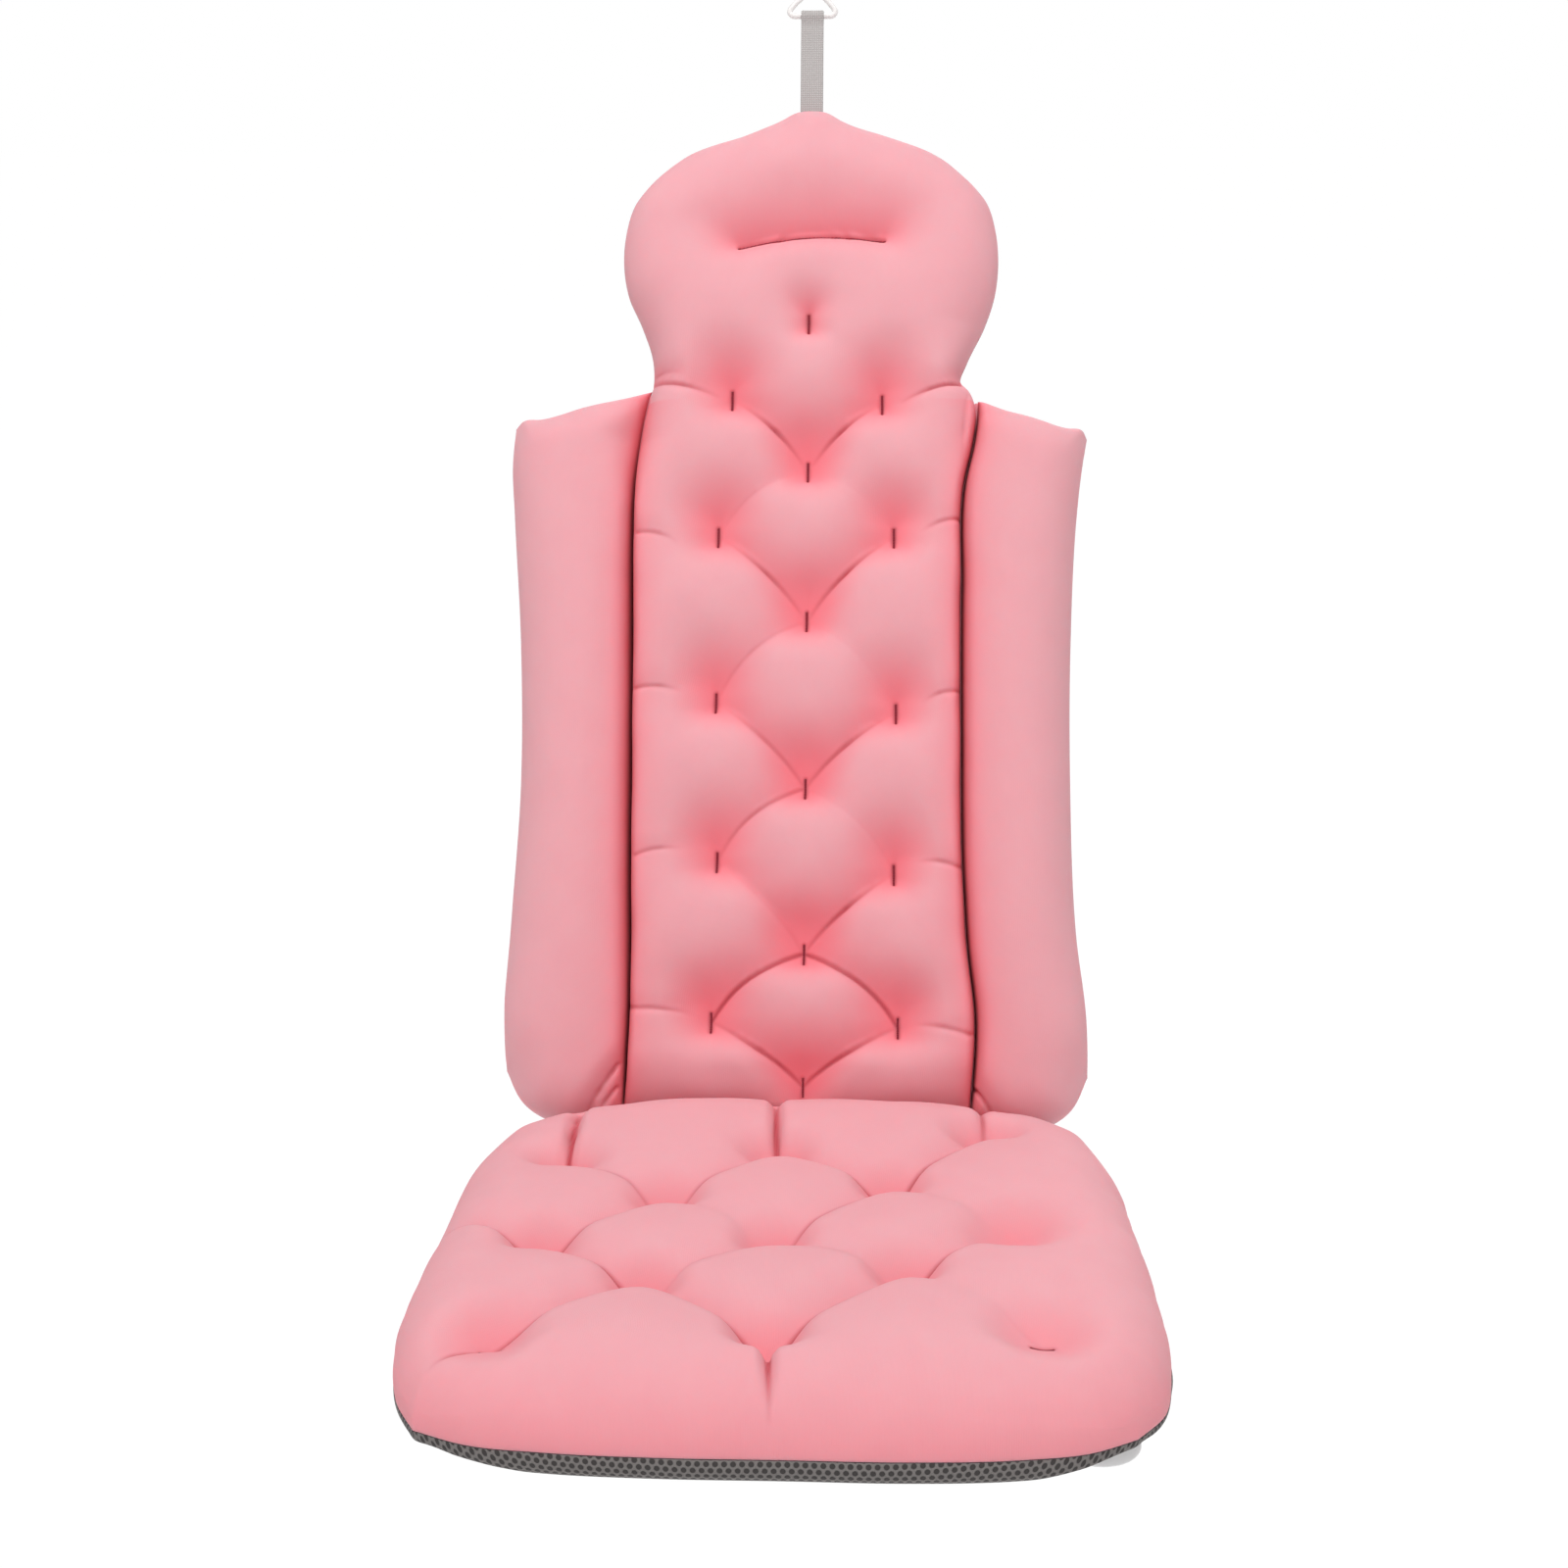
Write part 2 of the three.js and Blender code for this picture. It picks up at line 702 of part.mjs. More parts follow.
// Half width of the head outline at a share of its height
function headHalfWidthAt(share) {
  const y = lerp(seamOffset, headLength, share);
  let [low, high] = [0, 1];
  for (let k = 0; k < halvings; k += 1) {
    const middle = (low + high) / 2;
    [low, high] = headSeamY(middle) < y ? [middle, high] : [low, middle];
  }
  return headHalfWidth((low + high) / 2);
}

// Strap and hook

function strapGeometry() {
  const eyeInner = wireDiameter / 2 + clearance;
  const eyeOuter = eyeInner + strapThickness;
  const neck = Math.asin(strapThickness / eyeOuter);
  const outline = new THREE.Shape();
  outline.absarc(0, 0, strapThickness, Math.PI / 2, (3 * Math.PI) / 2, false);
  outline.absarc(strapLength, 0, eyeOuter, neck - Math.PI, Math.PI - neck, false);
  outline.closePath();
  const eye = new THREE.Path();
  eye.absarc(strapLength, 0, eyeInner, 0, 2 * Math.PI, true);
  outline.holes.push(eye);
  const options = { depth: strapWidth, bevelEnabled: false, curveSegments: strapCurveSegments };
  const geometry = new THREE.ExtrudeGeometry(outline, options);
  const acrossX = new THREE.Matrix4().makeBasis(
    new THREE.Vector3(0, 1, 0),
    new THREE.Vector3(0, 0, 1),
    new THREE.Vector3(1, 0, 0),
  );
  return geometry.applyMatrix4(acrossX).translate(-strapWidth / 2, 0, 0);
}

function arcPoints(x, y, radius, from, to, steps) {
  const points = [];
  for (let k = 0; k <= steps; k += 1) {
    const angle = degToRad(lerp(from, to, k / steps));
    points.push(new THREE.Vector3(x + radius * Math.cos(angle), y + radius * Math.sin(angle), 0));
  }
  return points;
}

// Bent wire: a triangle through the strap, whose right leg runs on into an open bow
function hookGeometry() {
  const half = hookBaseWidth / 2;
  const radius = hookCornerRadius;
  const leg = degToRad(hookLegAngle);
  const apex = radius + (half * Math.sin(leg) + radius) / Math.cos(leg);
  const endCorner = (wireDiameter / 2) * (1 + Math.abs(Math.cos(2 * leg)));
  const stop = (endCorner + clearance) / Math.sin(2 * leg);
  const leftTop = new THREE.Vector3(-stop * Math.cos(leg), apex - stop * Math.sin(leg), 0);
  const bowY = apex + hookBowRadius / Math.cos(leg);
  const points = [
    leftTop,
    ...arcPoints(-half, radius, radius, 90 + hookLegAngle, 270, hookCornerSteps),
    ...arcPoints(half, radius, radius, 270, 450 - hookLegAngle, hookCornerSteps),
    ...arcPoints(0, bowY, hookBowRadius, 270 - hookLegAngle, hookTipAngle, hookBowSteps),
  ];
  const path = new THREE.CatmullRomCurve3(points, false, "centripetal");
  const section = new THREE.Shape();
  section.absarc(0, 0, wireDiameter / 2, 0, 2 * Math.PI, false);
  const options = {
    steps: hookPathSteps,
    extrudePath: path,
    curveSegments: wireCurveSegments,
    bevelEnabled: false,
  };
  return new THREE.ExtrudeGeometry(section, options);
}

// Rolled bindings, the fold lines between cushions

function bindingGeometry(length, along) {
  const geometry = new THREE.CylinderGeometry(bindingRadius, bindingRadius, length, roundSides);
  return along === "x" ? geometry.rotateZ(Math.PI / 2) : geometry;
}

// Assembly

const pillow = new THREE.Group();

const seatFrame = new THREE.Group();
seatFrame.position.set(0, foldY, 0);
pillow.add(seatFrame);
addCushion(seatFrame, "seat", seatPad);

const backFrame = new THREE.Group();
backFrame.position.set(0, foldY, foldHeight);
backFrame.rotation.x = Math.PI / 2 - lean;
pillow.add(backFrame);
addCushion(backFrame, "back", backPad);
addCushion(backFrame, "left_bolster", bolsterPad(-1));
addCushion(backFrame, "right_bolster", bolsterPad(1));

const foldBinding = bindingGeometry(seatRearWidth - 2 * seatRearCorner, "x");
addPiece(backFrame, "seat_fold_binding", foldBinding, pinkKnit());
const neckBinding = bindingGeometry(neckWidth - 2 * bindingDiameter, "x");
neckBinding.translate(0, neckHeight, -neckSeamDepth);
addPiece(backFrame, "neck_binding", neckBinding, pinkKnit());
const bolsterBindingLow = bolsterBottom + bolsterBottomLift;
const bolsterBindingHigh = bolsterInnerTop - bindingDiameter;
for (const [side, sign] of [["left", -1], ["right", 1]]) {
  const binding = bindingGeometry(bolsterBindingHigh - bolsterBindingLow, "y");
  binding.translate(sign * bolsterSeamX, (bolsterBindingLow + bolsterBindingHigh) / 2, -bolsterSeamDepth);
  addPiece(backFrame, `${side}_bolster_binding`, binding, pinkKnit());
}

const headFrame = new THREE.Group();
headFrame.position.set(0, neckHeight, -neckSeamDepth);
backFrame.add(headFrame);
addCushion(headFrame, "head", headPad);

const strapFrame = new THREE.Group();
strapFrame.position.set(0, headLength + strapThickness + clearance, 0);
headFrame.add(strapFrame);
addPiece(strapFrame, "strap", strapGeometry(), webbing());

const hookFrame = new THREE.Group();
hookFrame.position.set(0, strapLength, 0);
strapFrame.add(hookFrame);
addPiece(hookFrame, "hook", hookGeometry(), hookPlastic());

export default pillow;
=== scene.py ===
# %% [markdown]
# # A tufted bath pillow
# The pillow is a lounger for a bathtub: a seat, a back between two side bolsters and a head rest, all stuffed
# with fibre. Pink stretch knit is on the sitter's side, grey air mesh underneath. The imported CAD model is
# loaded first as a fixed frame, and every soft piece below is built in its place.

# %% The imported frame
import json
import math

import bmesh
import bpy
import numpy as np
from mathutils import Matrix, Vector


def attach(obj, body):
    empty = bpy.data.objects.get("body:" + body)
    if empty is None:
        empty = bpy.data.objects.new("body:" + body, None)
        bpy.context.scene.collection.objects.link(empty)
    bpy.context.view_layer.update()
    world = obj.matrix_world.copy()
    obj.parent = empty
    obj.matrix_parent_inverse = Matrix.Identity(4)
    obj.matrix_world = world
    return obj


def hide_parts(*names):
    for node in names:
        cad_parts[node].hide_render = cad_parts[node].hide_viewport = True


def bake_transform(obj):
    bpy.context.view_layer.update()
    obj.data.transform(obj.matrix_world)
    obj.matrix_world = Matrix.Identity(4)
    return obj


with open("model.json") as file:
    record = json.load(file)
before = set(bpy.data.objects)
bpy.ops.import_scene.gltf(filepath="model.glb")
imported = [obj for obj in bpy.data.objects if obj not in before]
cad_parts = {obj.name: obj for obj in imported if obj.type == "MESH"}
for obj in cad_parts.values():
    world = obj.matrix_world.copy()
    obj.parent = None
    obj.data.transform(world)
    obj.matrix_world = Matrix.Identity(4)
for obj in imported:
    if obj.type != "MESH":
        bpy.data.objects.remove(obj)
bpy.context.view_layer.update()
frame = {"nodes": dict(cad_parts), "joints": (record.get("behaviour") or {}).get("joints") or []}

# %% [markdown]
# Cushions are easiest to shape lying flat. So each is drawn in millimetres in a frame of its own, and put in
# place with one matrix at the end. The back's frame has its origin on the crease, Y up along the back and Z
# towards the sitter. The seat's frame has its origin on the floor under the crease. Both come from the packed
# joints.

# %% Frames of the back and the seat
MM = 0.001
joints = {joint["name"]: joint for joint in frame["joints"]}
crease = Vector(joints["seat_fold"]["pos_m"])
to_right = Vector((1, 0, 0))
up_back = Vector(joints["left_bolster_fold"]["axis"])
to_sitter = to_right.cross(up_back)
back_frame = Matrix((to_right, up_back, to_sitter)).transposed().to_4x4()
back_frame.translation = crease
seat_frame = Matrix.Translation((0, crease.y, 0))


def place(points, local_frame):
    """Points in millimetres in a cushion's frame, as metres in the part's frame."""
    turned = np.asarray(points, float) * MM @ np.array(local_frame.to_3x3()).T
    return turned + np.array(local_frame.translation)


def packed_box(node, local_frame):
    """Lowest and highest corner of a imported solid, in millimetres in a cushion's frame."""
    turn, home = np.array(local_frame.to_3x3()), np.array(local_frame.translation)
    points = (np.array([vert.co for vert in frame["nodes"][node].data.vertices]) - home) @ turn / MM
    return points.min(0), points.max(0)


def link_object(name, data):
    made = bpy.data.objects.new(name, data)
    bpy.context.scene.collection.objects.link(made)
    return made


print("crease", tuple(round(x, 4) for x in crease))

# %% [markdown]
# Every finish is a node material. A small function adds one node with its settings and links, and colours are
# written as sRGB hex values, as a colour picker shows them, and turned to the linear values that shaders use.


# %% Helpers for materials
def linear(hex_colour):
    parts = [int(hex_colour[k:k + 2], 16) / 255 for k in (1, 3, 5)]
    return tuple(c / 12.92 if c < 0.04045 else ((c + 0.055) / 1.055) ** 2.4 for c in parts) + (1.0,)


def set_inputs(tree, node, inputs):
    """Links sockets to a node's inputs, and sets plain values on them."""
    for key, value in inputs.items():
        if isinstance(value, bpy.types.NodeSocket):
            tree.links.new(value, node.inputs[key])
        else:
            node.inputs[key].default_value = value


def add_node(tree, kind, inputs=None, **settings):
    made = tree.nodes.new(kind)
    for name, value in settings.items():
        setattr(made, name, value)
    set_inputs(tree, made, inputs or {})
    return made


def new_material(name):
    material = bpy.data.materials.new(name)
    material.use_nodes = True
    tree = material.node_tree
    return material, tree, tree.nodes["Principled BSDF"]


UV_MM = 100
WAVE_PERIOD = 2 * math.pi / 20

# %% [markdown]
# The cover is a brushed stretch knit of polyester and elastane. It looks smooth and matte. Light that enters
# the knit and the white fibre under it comes out red, as subsurface scattering gives it. The deep pink of the
# hollows and the dark red of the creases are painted shade on top of that. Its wales are about half a
# millimetre apart, too fine for the picture, so they are drawn at 1.3 mm, very shallow. The nap on them is
# drawn coarser too.

# %% Pink stretch knit
WALE_MM, TONE_MM, NAP_MM = 1.3, 100 / 3, 5 / 3
knit, tree, shader = new_material("brushed_stretch_knit")
cloth = add_node(tree, "ShaderNodeUVMap", uv_map="cloth").outputs["UV"]
tone = add_node(tree, "ShaderNodeTexNoise", {"Vector": cloth, "Scale": UV_MM / TONE_MM, "Detail": 3.0})
lobe = add_node(tree, "ShaderNodeMix", {
    "Factor": tone.outputs["Fac"], "A": linear("#EAADB4"), "B": linear("#E7A6AE")}, data_type="RGBA")
# Painted shade: one mark deepens the pink in the hollows, another paints the creases dark red.
hollow_shade = add_node(tree, "ShaderNodeAttribute", attribute_name="hollow_shade")
pit = add_node(tree, "ShaderNodeMix", {
    "Factor": hollow_shade.outputs["Fac"], "A": lobe.outputs["Result"], "B": linear("#F27F8A")}, data_type="RGBA")
crease_shade = add_node(tree, "ShaderNodeAttribute", attribute_name="crease")
shade = add_node(tree, "ShaderNodeMix", {
    "Factor": crease_shade.outputs["Fac"], "A": pit.outputs["Result"], "B": linear("#B42836")},
    data_type="RGBA")
wales = add_node(tree, "ShaderNodeTexWave", {
    "Vector": cloth, "Scale": UV_MM * WAVE_PERIOD / WALE_MM, "Distortion": 1.0, "Detail": 1.0})
nap = add_node(tree, "ShaderNodeTexNoise", {"Vector": cloth, "Scale": UV_MM / NAP_MM, "Detail": 2.0})
surface = add_node(tree, "ShaderNodeMath", {0: wales.outputs["Fac"], 1: nap.outputs["Fac"]}, operation="ADD")
bump = add_node(tree, "ShaderNodeBump", {
    "Strength": 0.1, "Distance": 0.0004, "Height": surface.outputs["Value"]})
set_inputs(tree, shader, {
    "Base Color": shade.outputs["Result"], "Normal": bump.outputs["Normal"], "Roughness": 0.9,
    "Specular IOR Level": 0.15, "Sheen Weight": 0.05, "Sheen Roughness": 0.5,
    "Sheen Tint": linear("#FFE4E8"), "Subsurface Weight": 0.4, "Subsurface Radius": (1.0, 0.2, 0.25),
    "Subsurface Scale": 0.01})
print("material", knit.name)

# %% [markdown]
# The underside is three-layer air mesh: two knitted faces held apart by pile, with rows of oval holes in the
# outer face, about 4.9 mm apart and staggered. The holes are drawn as two offset lattices of ellipses, sunk
# by a bump and painted near black inside as the shade in them. The yarn's grain is drawn at about 1.1 mm.

# %% Grey air mesh
HOLE_PITCH_MM, HOLE_ROW_MM, YARN_MM = 4.9, 3.6, 10 / 9
air_mesh, tree, shader = new_material("polyester_air_mesh")
cloth = add_node(tree, "ShaderNodeUVMap", uv_map="cloth").outputs["UV"]
cells = (UV_MM / HOLE_PITCH_MM, UV_MM / (2 * HOLE_ROW_MM), 0)
holes = []
for shift in (0.0, 0.5):
    at = cloth
    for operation, values in (("MULTIPLY_ADD", {1: cells, 2: (shift, shift, 0)}), ("FRACTION", {}),
                              ("SUBTRACT", {1: (0.5, 0.5, 0)}), ("MULTIPLY", {1: (1.0, 1.5, 0)})):
        moved = add_node(tree, "ShaderNodeVectorMath", {0: at, **values}, operation=operation)
        at = moved.outputs["Vector"]
    holes.append(add_node(tree, "ShaderNodeVectorMath", {0: at}, operation="LENGTH").outputs["Value"])
nearest = add_node(tree, "ShaderNodeMath", {0: holes[0], 1: holes[1]}, operation="MINIMUM")
rim = add_node(tree, "ShaderNodeMapRange", {
    "Value": nearest.outputs["Value"], "From Min": 0.26, "From Max": 0.38}, interpolation_type="SMOOTHSTEP")
yarn = add_node(tree, "ShaderNodeTexNoise", {"Vector": cloth, "Scale": UV_MM / YARN_MM, "Detail": 3.0})
face = add_node(tree, "ShaderNodeMix", {
    "Factor": yarn.outputs["Fac"], "A": linear("#646160"), "B": linear("#7A7673")}, data_type="RGBA")
# Painted shade: the inside of each hole is near black.
shade = add_node(tree, "ShaderNodeMix", {
    "Factor": rim.outputs["Result"], "A": linear("#322F2E"), "B": face.outputs["Result"]}, data_type="RGBA")
bump = add_node(tree, "ShaderNodeBump", {
    "Strength": 0.6, "Distance": 0.0012, "Height": rim.outputs["Result"]})
set_inputs(tree, shader, {
    "Base Color": shade.outputs["Result"], "Normal": bump.outputs["Normal"], "Roughness": 0.8,
    "Sheen Weight": 0.1})
print("material", air_mesh.name)

# %% [markdown]
# The tufts are sewn with maroon polyester thread. Its twisted fibres catch the light unevenly, so noise mixes
# two tones of it. The fibres are too fine for the picture, so the noise is drawn at about 1.1 mm.

# %% Sewing thread
FIBRE_MM = 10 / 9
thread, tree, shader = new_material("maroon_sewing_thread")
here = add_node(tree, "ShaderNodeTexCoord").outputs["Object"]
fibres = add_node(tree, "ShaderNodeTexNoise", {"Vector": here, "Scale": 1 / (FIBRE_MM * MM), "Detail": 2.0})
shade = add_node(tree, "ShaderNodeMix", {
    "Factor": fibres.outputs["Fac"], "A": linear("#7A1E2C"), "B": linear("#A34452")}, data_type="RGBA")
set_inputs(tree, shader, {"Base Color": shade.outputs["Result"], "Roughness": 0.7, "Specular IOR Level": 0.2})
print("material", thread.name)

# %% [markdown]
# The seams are bound with woven pink tape, dull and a little rough. Its weave is too fine for the picture, so
# a grain of about 1.4 mm stands for it, in two tones and as a bump.

# %% Binding tape
GRAIN_MM = 10 / 7
tape, tree, shader = new_material("pink_binding_tape")
here = add_node(tree, "ShaderNodeTexCoord").outputs["Object"]
grain = add_node(tree, "ShaderNodeTexNoise", {"Vector": here, "Scale": 1 / (GRAIN_MM * MM), "Detail": 2.0})
shade = add_node(tree, "ShaderNodeMix", {
    "Factor": grain.outputs["Fac"], "A": linear("#D9808D"), "B": linear("#F0A3AE")}, data_type="RGBA")
bump = add_node(tree, "ShaderNodeBump", {"Strength": 0.3, "Distance": 0.0004, "Height": grain.outputs["Fac"]})
set_inputs(tree, shader, {
    "Base Color": shade.outputs["Result"], "Normal": bump.outputs["Normal"], "Roughness": 0.85})
print("material", tape.name)

# %% [markdown]
# The suction cups are moulded from clear soft vinyl, slightly cloudy. Most light scatters inside it and a
# little passes straight through, so subsurface scattering is joined by weak transmission. The gloss is
# uneven, in patches of about 8 mm.

# %% Soft vinyl
PATCH_MM = 25 / 3
vinyl, tree, shader = new_material("clear_soft_vinyl")
here = add_node(tree, "ShaderNodeTexCoord").outputs["Object"]
patches = add_node(tree, "ShaderNodeTexNoise", {"Vector": here, "Scale": 1 / (PATCH_MM * MM), "Detail": 2.0})
rough = add_node(tree, "ShaderNodeMapRange", {
    "Value": patches.outputs["Fac"], "To Min": 0.08, "To Max": 0.22})
set_inputs(tree, shader, {
    "Base Color": linear("#F4F8F9"), "Roughness": rough.outputs["Result"], "Transmission Weight": 0.12,
    "IOR": 1.5, "Subsurface Weight": 0.6, "Subsurface Radius": (1.0, 1.0, 1.0), "Subsurface Scale": 0.03})
print("material", vinyl.name)

# %% [markdown]
# The strap is grey polypropylene webbing, woven from flat ribbed yarns 1.6 mm apart. Two waves at right
# angles, for warp and weft, are multiplied, and what they leave is the raised points of the weave.

# %% Webbing
RIB_MM = 1.6
webbing, tree, shader = new_material("grey_polypropylene_webbing")
cloth = add_node(tree, "ShaderNodeUVMap", uv_map="cloth").outputs["UV"]
rib_scale = UV_MM * WAVE_PERIOD / RIB_MM
warp, weft = [add_node(tree, "ShaderNodeTexWave", {
    "Vector": cloth, "Scale": rib_scale, "Distortion": 0.6}, bands_direction=way) for way in "XY"]
raised = add_node(tree, "ShaderNodeMath", {
    0: warp.outputs["Fac"], 1: weft.outputs["Fac"]}, operation="MULTIPLY")
shade = add_node(tree, "ShaderNodeMix", {
    "Factor": raised.outputs["Value"], "A": linear("#AAA7A5"), "B": linear("#CAC7C5")}, data_type="RGBA")
bump = add_node(tree, "ShaderNodeBump", {
    "Strength": 0.5, "Distance": 0.0005, "Height": raised.outputs["Value"]})
set_inputs(tree, shader, {
    "Base Color": shade.outputs["Result"], "Normal": bump.outputs["Normal"], "Roughness": 0.7})
print("material", webbing.name)

# %% [markdown]
# The hook is white nylon, hard and half glossy. Its tone drifts a little over about 17 mm, as moulded
# plastic's does where it flowed, and a thin coat gives it its highlight.

# %% Nylon
FLOW_MM = 50 / 3
nylon, tree, shader = new_material("white_nylon")
here = add_node(tree, "ShaderNodeTexCoord").outputs["Object"]
flow = add_node(tree, "ShaderNodeTexNoise", {"Vector": here, "Scale": 1 / (FLOW_MM * MM), "Detail": 1.0})
shade = add_node(tree, "ShaderNodeMix", {
    "Factor": flow.outputs["Fac"], "A": linear("#E9E8E6"), "B": linear("#F3F2F0")}, data_type="RGBA")
set_inputs(tree, shader, {"Base Color": shade.outputs["Result"], "Roughness": 0.35, "Coat Weight": 0.2})
print("material", nylon.name)

# %% [markdown]
# A cushion's plan is drawn by four side lines through a few measured points. A smooth line is laid through
# them, and a grid is spanned between the four lines. Grid lines are closer along the edges, where the cover
# turns down to its seam, so that the cloth's cells have nearly the same size everywhere.


# %% Plans of the cushions
LINE_STEPS = 800


def smooth_line(points, shares):
    """Points on a smooth line through the given ones, at shares of its length."""
    points = np.array(points, float)
    steps = np.linalg.norm(np.diff(points, axis=0), axis=1)
    knots = np.concatenate([[0], np.cumsum(steps)])
    slopes = np.gradient(points, knots, axis=0)
    along = np.linspace(0, knots[-1], LINE_STEPS)
    k = np.clip(np.searchsorted(knots, along, side="right") - 1, 0, len(steps) - 1)
    h = steps[k][:, None]
    f = (along[:, None] - knots[k][:, None]) / h
    line = (1 + 2 * f) * (1 - f) ** 2 * points[k] + f * (1 - f) ** 2 * h * slopes[k]
    line += f * f * (3 - 2 * f) * points[k + 1] + f * f * (f - 1) * h * slopes[k + 1]
    length = np.concatenate([[0], np.cumsum(np.linalg.norm(np.diff(line, axis=0), axis=1))])
    at = np.asarray(shares) * length[-1]
    return np.stack([np.interp(at, length, line[:, axis]) for axis in range(line.shape[1])], axis=1)


def edge_shares(length, first_round, last_round, step):
    """Shares of a side at which grid lines start, closer along both rounded edges."""
    def quarter(radius):
        count = max(2, round(radius * math.pi / 2 / step))
        return [radius * (1 - math.cos(math.pi / 2 * k / count)) for k in range(count)]
    count = max(1, round((length - first_round - last_round) / step))
    middle = np.linspace(first_round, length - last_round, count + 1)
    last = [length - d for d in reversed(quarter(last_round))]
    return np.array([*quarter(first_round), *middle, *last]) / length


def span(front, rear, left, right, across, along):
    """Grid of plan points between four side lines."""
    front, rear = smooth_line(front, across), smooth_line(rear, across)
    left, right = smooth_line(left, along), smooth_line(right, along)
    a, b = across[None, :, None], along[:, None, None]
    ruled = (1 - b) * front[None] + b * rear[None] + (1 - a) * left[:, None] + a * right[:, None]
    corners = (1 - a) * (1 - b) * front[0] + a * (1 - b) * front[-1]
    return ruled - corners - (1 - a) * b * rear[0] - a * b * rear[-1]


def mirrored(points):
    return [(-x, y) for x, y in points]


def both_halves(points):
    """A line given from the centre to the right, as a whole line from left to right."""
    return mirrored(points)[::-1] + list(points[1:])


def gap_to(plan, line):
    """Distance of each plan point from a line of points."""
    return np.sqrt(((plan[:, :, None, :] - line[None, None]) ** 2).sum(-1)).min(-1)


def quarter_rise(distance, run, power=2):
    """Rise from 0 to 1 over a rounded edge: a quarter circle, or squarer with a higher power."""
    share = np.clip(distance / run, 0, 1)
    return (1 - (1 - share) ** power) ** (1 / power)


def sloped_rise(distance, run):
    return np.sin(np.clip(distance / run, 0, 1) * math.pi / 2)


# %% [markdown]
# The tufts are where bar tacks hold the cover down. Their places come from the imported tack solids. Around
# each tack the grid is drawn over a little, so that a line of its points lies exactly under the stitches.


# %% Tacks
def tacks_of(prefix, local_frame):
    """Centre of each packed tack, in a cushion's frame."""
    names = sorted(name for name in frame["nodes"] if name.startswith(prefix))
    return {name: np.mean(packed_box(name, local_frame), axis=0) for name in names}


def draw_to_tacks(plan, places, lengthwise, reach):
    """Moves the plan so that its nearest point lies on each tack, and returns the points under each tack."""
    held = []
    for place_x, place_y, _ in places:
        target = np.array((place_x, place_y))
        j, i = np.unravel_index(((plan - target) ** 2).sum(-1).argmin(), plan.shape[:2])
        fade = np.exp(-((plan - plan[j, i]) ** 2).sum(-1) / reach ** 2)
        plan += fade[..., None] * (target - plan[j, i])
        held.append([(j + k, i) if lengthwise else (j, i + k) for k in (-1, 0, 1)])
    return held


seat_tacks = tacks_of("seat_tuft_tack", seat_frame)
back_tacks = tacks_of("back_tuft_tack", back_frame)
head_tacks = tacks_of("head_tuft_tack", back_frame)
print(len(seat_tacks), "seat tacks,", len(back_tacks), "back tacks")

# %% [markdown]
# Between neighbouring tacks the cover folds in, and the folds bound the full lobes of the cushion. Each fold
# is a line that bows up round the lobe below it. The lobe below rises steeply out of its fold. The one above
# slopes down to it gently, as stuffed lobes do that rest on each other.


# %% Folds between tacks
FOLD_SHARES = np.linspace(0, 1, 13)
STEEP, GENTLE = 14, 56
TACK_HALF = 6.0


def fold(start, end, bow, depth, line, runs=(STEEP, GENTLE)):
    """A fold: its path, its depth and crease line along it, and its width below and above."""
    start, end = np.array(start[:2], float), np.array(end[:2], float)
    across = np.array((start[1] - end[1], end[0] - start[0]))
    across *= (1 if across[1] >= 0 else -1) / np.linalg.norm(across)
    bowed = 4 * FOLD_SHARES * (1 - FOLD_SHARES) * bow
    path = start + np.outer(FOLD_SHARES, end - start) + np.outer(bowed, across)
    at_ends = np.abs(2 * FOLD_SHARES - 1) ** 2
    depth = depth[1] + (np.where(FOLD_SHARES < 0.5, depth[0], depth[2]) - depth[1]) * at_ends
    line = np.interp(FOLD_SHARES, (0, 0.5, 1), line) ** 1.5
    return {"path": path, "depth": depth, "line": line, "runs": runs}


def dimples(places, lengthwise, runs):
    """A short fold along each bar tack, as deep as the tack."""
    half = np.array((0, TACK_HALF) if lengthwise else (TACK_HALF, 0))
    return [fold(tack[:2] - half, tack[:2] + half, 0, (1, 1, 1), (0.8, 0.8, 0.8), runs) for tack in places]


def beside(plan, one, reach):
    """Distance of plan points from a fold, the share of its length there, and how much they lie above it."""
    path, steps = one["path"], np.diff(one["path"], axis=0)
    near, share, upward = (np.full(plan.shape[:2], value) for value in (1e3, 0.0, 0.0))
    inside = ((plan > path.min(0) - reach) & (plan < path.max(0) + reach)).all(-1)
    apart = plan[inside][:, None] - path[None, :-1]
    along = np.clip((apart * steps).sum(-1) / (steps ** 2).sum(-1), 0, 1)
    apart -= along[..., None] * steps
    gap = np.linalg.norm(apart, axis=-1)
    row, k = np.arange(len(gap)), gap.argmin(-1)
    near[inside] = gap[row, k]
    share[inside] = (k + along[row, k]) / len(steps)
    upward[inside] = apart[row, k, 1] / np.maximum(gap[row, k], 1e-6)
    return near, share, upward


def fold_depth(plan, folds):
    """How far the cover is drawn in by its folds: 1 at the bottom of a tuft, 0 on the full lobes."""
    full = np.ones(plan.shape[:2])
    for one in folds:
        below, above = one["runs"]
        near, share, upward = beside(plan, one, max(below, above))
        tilt = 0.5 + 0.5 * upward
        run = below + (above - below) * tilt
        rise = (1 - tilt) * quarter_rise(near, run) + tilt * sloped_rise(near, run)
        if "bowl" in one:
            rise = (1 - np.cos(np.clip(near / run, 0, 1) * math.pi)) / 2
        full *= 1 - np.interp(share, FOLD_SHARES, one["depth"]) * (1 - rise)
    return 1 - full


def near_folds(plan, folds, reach):
    """Numbers of the grid points that lie on folds."""
    return np.flatnonzero(np.min([beside(plan, one, 2 * reach)[0] for one in folds], axis=0).ravel() < reach)


